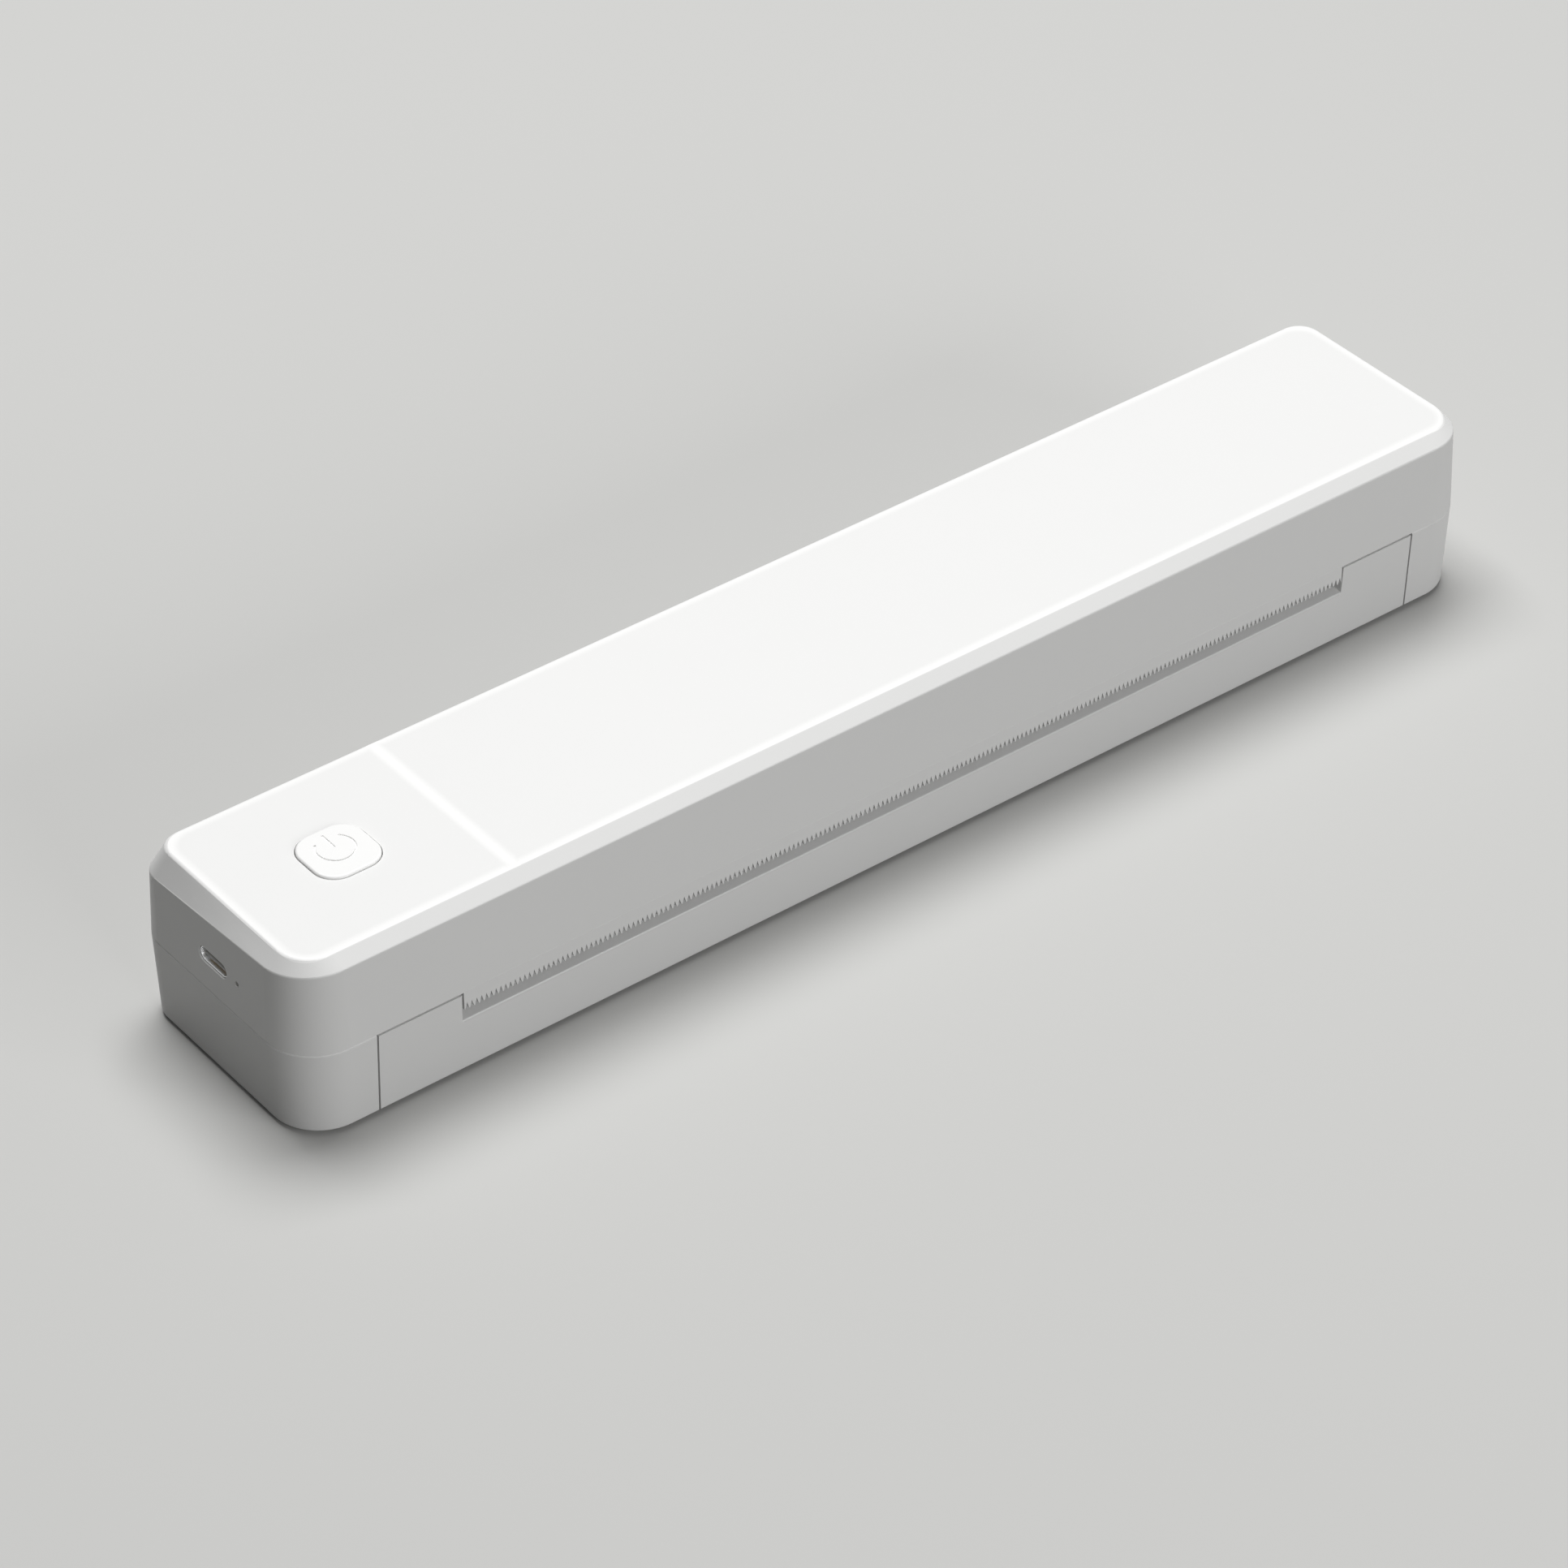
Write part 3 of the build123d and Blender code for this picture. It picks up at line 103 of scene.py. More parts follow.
def maths(tree: bpy.types.NodeTree, operation: str, *values: Any, **settings: Any) -> bpy.types.NodeSocket:
    """Add a maths node.

    Args:
        tree: the node tree.
        operation: what it does.
        values: its inputs in order, values or sockets.
        settings: the node's own attributes.

    Returns:
        The socket of its result.
    """
    inputs = dict(enumerate(values))
    return add_node(tree, "ShaderNodeMath", inputs, operation=operation, **settings).outputs[0]


def vector_maths(tree: bpy.types.NodeTree, operation: str, *values: Any) -> bpy.types.Node:
    """Add a vector maths node.

    Args:
        tree: the node tree.
        operation: what it does.
        values: its inputs in order, values or sockets.

    Returns:
        The node, whose result is a vector or a value.
    """
    return add_node(tree, "ShaderNodeVectorMath", dict(enumerate(values)), operation=operation)


def parts_of(tree: bpy.types.NodeTree, vector: bpy.types.NodeSocket) -> bpy.types.NodeOutputs:
    """Split a vector.

    Args:
        tree: the node tree.
        vector: the vector's socket.

    Returns:
        The sockets X, Y and Z.
    """
    return add_node(tree, "ShaderNodeSeparateXYZ", {0: vector}).outputs


def mix_colours(tree: bpy.types.NodeTree, share: bpy.types.NodeSocket, first: Any,
                second: Any) -> bpy.types.NodeSocket:
    """Mix two colours.

    Args:
        tree: the node tree.
        share: how much of the second there is, 0 to 1.
        first: a colour or its socket.
        second: a colour or its socket.

    Returns:
        The socket of the mixed colour.
    """
    return add_node(tree, "ShaderNodeMix", {0: share, 6: first, 7: second}, data_type="RGBA").outputs[2]


def soft_step(tree: bpy.types.NodeTree, value: bpy.types.NodeSocket, start: float,
              end: float) -> bpy.types.NodeSocket:
    """Rise smoothly from 0 at the start to 1 at the end.

    Args:
        tree: the node tree.
        value: what is compared.
        start: where the rise starts.
        end: where the rise ends, below the start if it is to fall.

    Returns:
        The socket of the result.
    """
    return add_node(tree, "ShaderNodeMapRange", {
        "Value": value,
        "From Min": start,
        "From Max": end,
    }, interpolation_type="SMOOTHSTEP").outputs["Result"]


# ---------------------------------------------------------------------- finishes


class Grain(Enum):
    """The way a surface's marks run, as the stretch of its pattern along X, Y and Z."""

    EVEN = (1.0, 1.0, 1.0)
    ALONG_X = (0.02, 1.0, 1.0)
    AROUND_X = (1.0, 0.02, 0.02)


@dataclass(frozen=True)
class Finish:
    """A plain surface, which the kinds of finish below build on.

    Colours are sRGB hex. The grain is its real size in millimetres and the relief its depth.
    """

    name: str
    colour: str
    roughness: float
    metallic: float = 0.0
    coat: float = 0.0
    grain_mm: float = 0.5
    relief_mm: float = 0.004
    mottle: float = 0.03
    polish: float = 0.06
    run: Grain = Grain.EVEN
    cloud_in_grains: float = 40.0
    least_roughness: float = 0.02

    def colour_pattern(self, tree: bpy.types.NodeTree, place: bpy.types.NodeSocket,
                       base: bpy.types.NodeSocket) -> bpy.types.NodeSocket:
        """Leave the colour as it is.

        Args:
            tree: the material's node tree.
            place: object coordinates.
            base: the colour.

        Returns:
            The same colour.
        """
        return base

    def roughness_pattern(self, tree: bpy.types.NodeTree, place: bpy.types.NodeSocket,
                          base: bpy.types.NodeSocket) -> bpy.types.NodeSocket:
        """Leave the roughness as it is.

        Args:
            tree: the material's node tree.
            place: object coordinates.
            base: the roughness.

        Returns:
            The same roughness.
        """
        return base

    def material(self) -> bpy.types.Material:
        """Make the material.

        Returns:
            A material whose colour, roughness and relief follow the grain.
        """
        made = bpy.data.materials.new(self.name)
        made.use_nodes = True
        tree = made.node_tree
        tree.nodes.clear()
        place = add_node(tree, "ShaderNodeTexCoord", {}).outputs["Object"]
        stretched = add_node(tree, "ShaderNodeMapping", {"Vector": place, "Scale": self.run.value})
        fine = add_node(tree, "ShaderNodeTexNoise", {
            "Vector": stretched.outputs["Vector"],
            "Scale": 1 / (self.grain_mm * MM),
            "Detail": 2.0,
            "Roughness": 0.55,
        })
        cloud = add_node(tree, "ShaderNodeTexNoise", {
            "Vector": stretched.outputs["Vector"],
            "Scale": 1 / (self.cloud_in_grains * self.grain_mm * MM),
            "Detail": 3.0,
        })
        tint = linear(self.colour)
        darker = tuple(c * (1 - self.mottle) for c in tint[:3]) + (1.0,)
        base = self.colour_pattern(tree, place, mix_colours(tree, cloud.outputs["Fac"], darker, tint))
        rough = add_node(tree, "ShaderNodeMapRange", {
            "Value": fine.outputs["Fac"],
            "From Min": 0.3,
            "From Max": 0.7,
            "To Min": max(self.roughness - self.polish, self.least_roughness),
            "To Max": self.roughness + self.polish,
        }).outputs["Result"]
        rough = self.roughness_pattern(tree, place, rough)
        bump = add_node(tree, "ShaderNodeBump", {
            "Height": fine.outputs["Fac"],
            "Distance": self.relief_mm * MM,
            "Strength": 1.0,
        })
        shader = add_node(tree, "ShaderNodeBsdfPrincipled", {
            "Base Color": base,
            "Roughness": rough,
            "Normal": bump.outputs["Normal"],
            "Metallic": self.metallic,
            "Coat Weight": self.coat,
            "Coat Roughness": 0.12,
        })
        add_node(tree, "ShaderNodeOutputMaterial", {"Surface": shader.outputs["BSDF"]})
        return made


@dataclass(frozen=True)
class MouldedShell(Finish):
    """White ABS from a spark-eroded mould, satin, with a painted highlight on the rim and crease of its flat
    top.

    The highlight is painted as a paler colour in a band round the top's edge and across the crease.
    """

    # Painted highlight: the paler colour painted in a band round the rim of the flat top and along its
    # crease.
    rim_highlight_colour: str = "FEFEFD"
    rim_highlight_mm: float = 2.3
    crease_highlight_mm: float = 2.0
    rim_corner_mm: float = 6.0
    top_inset_mm: float = 3.35
    crease_inset_mm: float = 51.0
    lip_mm: float = 0.7
    lip_above_mm: float = 0.1
    lip_reach_mm: float = 1.2
    lip_roughness: float = 0.16
    sharp_mm: float = 0.5
    crease_core_mm: float = 0.3
    overlap_mm: float = 0.1
    top_depth_mm: float = 1.0

    def roughness_pattern(self, tree: bpy.types.NodeTree, place: bpy.types.NodeSocket,
                          base: bpy.types.NodeSocket) -> bpy.types.NodeSocket:
        """Polish the front edge of the lip that the paper slides over.

        Args:
            tree: the material's node tree.
            place: object coordinates.
            base: the roughness of the panels.

        Returns:
            The roughness with its smooth edge.
        """
        front_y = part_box("top_shell")[0].y
        aside = parts_of(tree, vector_maths(tree, "ABSOLUTE", place).outputs[0])["X"]
        spot = parts_of(tree, place)
        half = self.lip_mm / 2
        level = maths(tree, "COMPARE", spot["Z"], (LIP_TOP - half + self.lip_above_mm) * MM, half * MM)
        front = maths(tree, "LESS_THAN", spot["Y"], front_y + self.lip_reach_mm * MM)
        in_slot = maths(tree, "LESS_THAN", aside, SLOT_HALF * MM)
        edge = maths(tree, "MULTIPLY", maths(tree, "MULTIPLY", level, front), in_slot)
        return add_node(tree, "ShaderNodeMix", {
            0: edge,
            2: base,
            3: self.lip_roughness,
        }, data_type="FLOAT").outputs[0]

    def colour_pattern(self, tree: bpy.types.NodeTree, place: bpy.types.NodeSocket,
                       base: bpy.types.NodeSocket) -> bpy.types.NodeSocket:
        """Paint a highlight on the rim of the flat top and the crease across it, as a paler colour.

        Args:
            tree: the material's node tree.
            place: object coordinates.
            base: the colour of the panels.

        Returns:
            The colour with its painted highlight bands.
        """
        low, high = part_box("top_shell")
        corner = self.rim_corner_mm * MM
        half = (high - low) / 2
        inset = self.top_inset_mm * MM
        core = (half.x - inset - corner, half.y - inset - corner, 1.0)
        past = vector_maths(tree, "SUBTRACT", vector_maths(tree, "ABSOLUTE", place).outputs[0], core)
        outside = vector_maths(tree, "MAXIMUM", past.outputs[0], (0.0, 0.0, 0.0))
        reach = vector_maths(tree, "LENGTH", outside.outputs[0]).outputs["Value"]
        beside = parts_of(tree, past.outputs[0])
        inner = maths(tree, "MINIMUM", maths(tree, "MAXIMUM", beside["X"], beside["Y"]), 0.0)
        edge = maths(tree, "ADD", reach, inner)
        # Painted highlight: paler colour in a band just inside the rim of the flat top and along the crease.
        rim_highlight = soft_step(tree, edge, corner - self.rim_highlight_mm * MM, corner - self.sharp_mm * MM)
        inside = maths(tree, "LESS_THAN", edge, corner + self.overlap_mm * MM)
        spot = parts_of(tree, place)
        from_crease = maths(tree, "SUBTRACT", spot["X"], low.x + self.crease_inset_mm * MM)
        from_crease = maths(tree, "ABSOLUTE", from_crease)
        crease_highlight = soft_step(tree, from_crease, self.crease_highlight_mm * MM, self.crease_core_mm * MM)
        on_top = maths(tree, "GREATER_THAN", spot["Z"], high.z - self.top_depth_mm * MM)
        highlight_band = maths(tree, "MULTIPLY", maths(tree, "MAXIMUM", rim_highlight, crease_highlight), inside)
        return mix_colours(tree, maths(tree, "MULTIPLY", highlight_band, on_top), base, linear(self.rim_highlight_colour))


@dataclass(frozen=True)
class SolderMask(Finish):
    """Green lacquer over etched copper: the tracks below it show as paler lines."""

    track_colour: str = "2A8556"
    track_pitch_mm: float = 1.6
    track_share: float = 0.15
    run_in_pitches: float = 9.0

    def colour_pattern(self, tree: bpy.types.NodeTree, place: bpy.types.NodeSocket,
                       base: bpy.types.NodeSocket) -> bpy.types.NodeSocket:
        """Draw tracks that run along the board and step sideways.

        Args:
            tree: the material's node tree.
            place: object coordinates.
            base: the colour of the bare lacquer.

        Returns:
            The lacquer's colour with its tracks.
        """
        tracks = add_node(tree, "ShaderNodeTexBrick", {
            "Vector": place,
            "Color1": (0.0, 0.0, 0.0, 1.0),
            "Color2": (0.0, 0.0, 0.0, 1.0),
            "Mortar": (1.0, 1.0, 1.0, 1.0),
            "Scale": 1.0,
            "Mortar Size": self.track_share * self.track_pitch_mm * MM,
            "Brick Width": self.run_in_pitches * self.track_pitch_mm * MM,
            "Row Height": self.track_pitch_mm * MM,
        }, offset=0.37, squash=1.8, squash_frequency=3)
        return mix_colours(tree, tracks.outputs["Color"], base, linear(self.track_colour))


@dataclass(frozen=True)
class FlexFilm(Finish):
    """Amber polyimide film over copper conductors, which show through as darker stripes."""

    copper_colour: str = "8A4A1C"
    pitch_mm: float = 1.0
    copper_share: float = 0.55

    def colour_pattern(self, tree: bpy.types.NodeTree, place: bpy.types.NodeSocket,
                       base: bpy.types.NodeSocket) -> bpy.types.NodeSocket:
        """Draw the conductors side by side along X.

        Args:
            tree: the material's node tree.
            place: object coordinates.
            base: the colour of the film.

        Returns:
            The film's colour with its conductors.
        """
        along = maths(tree, "FLOORED_MODULO", parts_of(tree, place)["X"], self.pitch_mm * MM)
        copper = maths(tree, "LESS_THAN", along, self.copper_share * self.pitch_mm * MM)
        return mix_colours(tree, copper, base, linear(self.copper_colour))


FINISHES = {
    # White ABS, moulded in an eroded mould: an even satin, with a smoother lip edge and a painted highlight
    # on the rim and crease of the top.
    "shell_white": MouldedShell("abs_moulded_white", "F3F3F2", 0.42, grain_mm=0.35, relief_mm=0.006,
                                mottle=0.01),
    # White ABS from a finer mould than the shell: the eye sees it as the whitest part.
    "button_white": Finish("abs_satin_white", "FDFDFC", 0.36, grain_mm=0.30, relief_mm=0.003, mottle=0.008),
    # Grey silicone, pressed and cut: dull, with fine grit.
    "foot_rubber": Finish("silicone_rubber_grey", "4B4B4D", 0.72, grain_mm=0.4, relief_mm=0.012),
    # Nitrile rubber, ground to size on its shaft: matt black, with faint rings round the roller.
    "platen_rubber": Finish("nitrile_rubber_ground", "1D1D1F", 0.68, grain_mm=0.25, relief_mm=0.01,
                            mottle=0.15, run=Grain.AROUND_X),
    # Rolled steel sheet and bar: fine bright streaks along the length.
    "steel": Finish("steel_rolled", "BDBFC1", 0.34, metallic=1.0, grain_mm=0.15, relief_mm=0.002,
                    mottle=0.08, run=Grain.ALONG_X),
    # Headed steel wire, zinc plated: bright and slightly cold.
    "zinc_screw": Finish("zinc_plated_steel", "C9CCD1", 0.28, metallic=1.0, grain_mm=0.3, relief_mm=0.002),
    # Extruded aluminium: soft streaks along the length.
    "heatsink_aluminium": Finish("aluminium_extruded", "C4C6C8", 0.38, metallic=1.0, grain_mm=0.2,
                                 relief_mm=0.003, mottle=0.08, run=Grain.ALONG_X),
    # Fired alumina under a thin glaze: off-white with a hard shine.
    "head_ceramic": Finish("alumina_glazed", "DDDACE", 0.22, coat=0.5, grain_mm=0.6, relief_mm=0.001),
    # Acetal, moulded without dye: milky and a little slippery to the eye.
    "acetal_natural": Finish("acetal_natural", "E6E3D6", 0.36, grain_mm=0.5, relief_mm=0.002),
    # Acetal, moulded black: a low even sheen.
    "acetal_black": Finish("acetal_black", "1B1B1C", 0.38, grain_mm=0.5, relief_mm=0.002),
    # Black ABS, moulded in an eroded mould: a charcoal satin.
    "tray_black": Finish("abs_moulded_black", "262627", 0.5, grain_mm=0.35, relief_mm=0.006, mottle=0.1),
    # Glass board under green lacquer: tracks show as paler lines.
    "board_green": SolderMask("solder_mask_green", "15613A", 0.32, coat=0.4, grain_mm=1.0, relief_mm=0.004),
    # Black epoxy, moulded round a chip: dull and finely grained.
    "chip_black": Finish("epoxy_moulded_black", "1C1C1E", 0.55, grain_mm=0.12, relief_mm=0.003),
    # Cream nylon, moulded: waxy.
    "connector_cream": Finish("nylon_cream", "DDD6C2", 0.45, grain_mm=0.4, relief_mm=0.002),
    # Polyimide film over copper: glossy amber with darker stripes.
    "flex_amber": FlexFilm("polyimide_film", "B4752A", 0.25, coat=0.5, grain_mm=0.8, relief_mm=0.002),
    # Blue PVC sleeve, shrunk on a cell: glossy and slightly wavy.
    "cell_wrap": Finish("pvc_shrink_sleeve_blue", "2C5C9E", 0.3, coat=0.3, grain_mm=1.5, relief_mm=0.01),
    # Steel strip, nickel plated: warm and bright.
    "nickel_strip": Finish("nickel_plated_steel", "C6C2B9", 0.3, metallic=1.0, grain_mm=0.3, relief_mm=0.002),
    # Red PVC, drawn over wire: smooth.
    "lead_red": Finish("pvc_wire_red", "A3221C", 0.4, grain_mm=0.5, relief_mm=0.002),
    # Grey PVC, drawn over wires: smooth.
    "cable_grey": Finish("pvc_wire_grey", "77787A", 0.42, grain_mm=0.5, relief_mm=0.002),
    # Drawn steel, nickel plated: brighter and smoother than the strip.
    "usb_shell": Finish("nickel_plated_bright", "DCDDDE", 0.34, metallic=1.0, grain_mm=0.3, relief_mm=0.001),
    # Clear polycarbonate, moulded over the light: pale and glassy.
    "light_lens": Finish("polycarbonate_clear", "E8ECE8", 0.1, coat=0.3, grain_mm=0.5, relief_mm=0.0005),
}
EXTRA_FINISHES = {
    # Liquid crystal polymer, moulded round the contacts: a pale matt grey.
    "tongue_grey": Finish("liquid_crystal_polymer_grey", "C4C4C2", 0.4, grain_mm=0.3, relief_mm=0.002),
    # Copper with a thin flash of gold: yellow and bright.
    "gold_flash": Finish("gold_plated_copper", "D9B25C", 0.25, metallic=1.0, grain_mm=0.2, relief_mm=0.001),
    # Dark glaze, printed and fired on the ceramic: a brown glassy line.
    "glass_bead": Finish("glass_glaze_dark", "5B4A3C", 0.12, coat=0.6, grain_mm=0.4, relief_mm=0.001),
}


# ---------------------------------------------------------------------- mesh helpers


MERGE_DISTANCE = 1e-7


def place_in_scene(name: str, data: bpy.types.Mesh) -> bpy.types.Object:
    """Link a new object of a mesh to the scene.

    Args:
        name: its name.
        data: its mesh.

    Returns:
        The object, at the origin.
    """
    made = bpy.data.objects.new(name, data)
    bpy.context.scene.collection.objects.link(made)
    return made


def closed_mesh(name: str, mesh: bmesh.types.BMesh) -> bpy.types.Mesh:
    """Merge a bmesh's doubled points, turn its faces outward and make a mesh of it.

    Args:
        name: the mesh's name.
        mesh: the shape; it is freed.

    Returns:
        The mesh.
    """
    bmesh.ops.remove_doubles(mesh, verts=mesh.verts, dist=MERGE_DISTANCE)
    bmesh.ops.recalc_face_normals(mesh, faces=mesh.faces)
    data = bpy.data.meshes.new(name)
    mesh.to_mesh(data)
    mesh.free()
    return data


def finished_piece(name: str, mesh: bmesh.types.BMesh, material: bpy.types.Material, body: str,
                   smooth_below: float = 35.0) -> bpy.types.Object:
    """Turn a bmesh into a named piece that rides on a body.

    Args:
        name: the piece's name.
        mesh: the shape, in the printer's frame; it is freed.
        material: its finish.
        body: the body that it rides on.
        smooth_below: edges flatter than this many degrees are shaded smooth.

    Returns:
        The new object, at the origin.
    """
    data = closed_mesh(name, mesh)
    data.shade_smooth()
    data.set_sharp_from_angle(angle=radians(smooth_below))
    data.materials.append(material)
    made = place_in_scene(name, data)
    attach(made, body)
    log.info("%s: %d faces on %s", name, len(data.polygons), body)
    return made


def add_block(mesh: bmesh.types.BMesh, low: Vector, high: Vector, bevel: float = 0.0) -> None:
    """Add a block with rounded edges between two corners.

    Args:
        mesh: the bmesh to add to.
        low: its lowest corner.
        high: its highest corner.
        bevel: the radius of its edges; none if 0.
    """
    size = high - low
    place = Matrix.Translation((low + high) / 2) @ Matrix.Diagonal((*size, 1.0))
    corners = bmesh.ops.create_cube(mesh, size=1.0, matrix=place)["verts"]
    if bevel:
        edges = list({edge for corner in corners for edge in corner.link_edges})
        bmesh.ops.bevel(mesh, geom=edges, offset=bevel, segments=2, profile=0.5, affect="EDGES", material=-1)


def islands(piece: bpy.types.Object) -> list[list[Vector]]:
    """Split a node's points into its separate solids.

    Args:
        piece: a carried-over node of several solids.

    Returns:
        For each solid, its points, in order of the solids' X, Y and Z.
    """
    copy = bmesh.new()
    copy.from_mesh(piece.data)
    bmesh.ops.remove_doubles(copy, verts=copy.verts, dist=1e-6)
    left = set(copy.verts)
    solids = []
    while left:
        front = [left.pop()]
        solid = []
        while front:
            point = front.pop()
            solid.append(point.co.copy())
            beside = {edge.other_vert(point) for edge in point.link_edges} & left
            left -= beside
            front.extend(beside)
        solids.append(solid)
    copy.free()

    def where(solid: list[Vector]) -> tuple[float, ...]:
        """Give the middle of a solid's points, rounded."""
        return tuple(round(axis, 5) for axis in sum(solid, Vector()) / len(solid))

    return sorted(solids, key=where)


# ---------------------------------------------------------------------- fine pieces


@dataclass
class UsbSocket:
    """The charging socket: a drawn steel shell round a tongue with gilt contacts."""

    materials: dict[str, bpy.types.Material]
    sheet: float = 0.3 * MM
    lip: float = 0.14 * MM
    tongue_width: float = 6.7 * MM
    tongue_height: float = 0.7 * MM
    tongue_recess: float = 0.3 * MM
    contact_pitch: float = 0.5 * MM
    contact_width: float = 0.26 * MM
    contacts_a_side: int = 12
    contact_setback: float = 0.35 * MM
    contact_length: float = 2.6 * MM
    contact_relief: float = 0.05 * MM
    root_start: float = 3.2 * MM
    root_wider: float = 0.3 * MM
    root_taller: float = 0.4 * MM
    lip_rounding: float = 0.3
    arc_segments: int = 40

    def shell(self) -> bpy.types.Object:
        """Draw the shell from one rounded outline, out along its wall, round its lip and back inside.

        Returns:
            The shell, which replaces the plain socket.
        """
        low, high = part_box("usb_socket")
        radius = (high.z - low.z) / 2
        flat = (high.y - low.y) / 2 - radius
        middle = (low + high) / 2
        mesh = bmesh.new()
        turn = Matrix.Rotation(pi / self.arc_segments, 4, "X") @ Matrix.Rotation(pi / 2, 4, "Y")
        ring = bmesh.ops.create_circle(mesh, radius=radius, segments=self.arc_segments, matrix=turn)["verts"]
        directions = {v: v.co.normalized() for v in ring}
        rounding = self.lip_rounding * self.lip
        steps = [
            (high.x, 0.0),
            (low.x + self.lip, 0.0),
            (low.x + rounding, rounding),
            (low.x, self.lip),
            (low.x + rounding, self.sheet - rounding),
            (low.x + self.lip, self.sheet),
            (high.x - self.sheet, self.sheet),
        ]
        loop = mesh.edges[:]
        for count, (x, inset) in enumerate(steps):
            if count:
                grown = bmesh.ops.extrude_edge_only(mesh, edges=loop)["geom"]
                fresh = [item for item in grown if isinstance(item, bmesh.types.BMVert)]
                loop = [item for item in grown if isinstance(item, bmesh.types.BMEdge)]
                old = {v: min(directions, key=lambda o: (o.co - v.co).length) for v in fresh}
                directions = {v: directions[old[v]] for v in fresh}
            for point, way in directions.items():
                side = flat if way.y > 0 else -flat
                point.co = Vector((x, middle.y + side, middle.z)) + way * (radius - inset)
        bmesh.ops.holes_fill(mesh, edges=mesh.edges, sides=0)
        steel = self.materials["usb_shell"]
        piece = finished_piece("usb_socket_shell", mesh, steel, "housing")
        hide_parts("usb_socket")
        return piece

    def tongue(self) -> bpy.types.Object:
        """Mould the tongue that carries the contacts, with its thicker root.

        Returns:
            The tongue.
        """
        low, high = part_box("usb_socket")
        middle = (low + high) / 2
        half = Vector((0.0, self.tongue_width / 2, self.tongue_height / 2))
        mesh = bmesh.new()
        start = Vector((low.x + self.tongue_recess, middle.y, middle.z))
        end = Vector((high.x - self.sheet, middle.y, middle.z))
        add_block(mesh, start - half, end + half, bevel=0.15 * MM)
        thick = half + Vector((0.0, self.root_wider, self.root_taller))
        root = start + Vector((self.root_start, 0.0, 0.0))
        add_block(mesh, root - thick, end + thick, bevel=0.1 * MM)
        return finished_piece("usb_socket_tongue", mesh, self.materials["tongue_grey"], "housing")

    def contacts(self) -> bpy.types.Object:
        """Set a row of contacts into each face of the tongue.

        Returns:
            The contacts, in one piece.
        """
        low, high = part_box("usb_socket")
        middle = (low + high) / 2
        half = Vector((self.contact_length / 2, self.contact_width / 2, self.contact_relief))
        centre_x = low.x + self.tongue_recess + self.contact_setback + self.contact_length / 2
        mesh = bmesh.new()
        for side in (-1, 1):
            z = middle.z + side * self.tongue_height / 2
            for count in range(self.contacts_a_side):
                y = middle.y + (count - (self.contacts_a_side - 1) / 2) * self.contact_pitch
                centre = Vector((centre_x, y, z))
                add_block(mesh, centre - half, centre + half)
        return finished_piece("usb_socket_contacts", mesh, self.materials["gold_flash"], "housing")

    def build(self) -> None:
        """Make the socket's pieces."""
        self.shell()
        self.tongue()
        self.contacts()


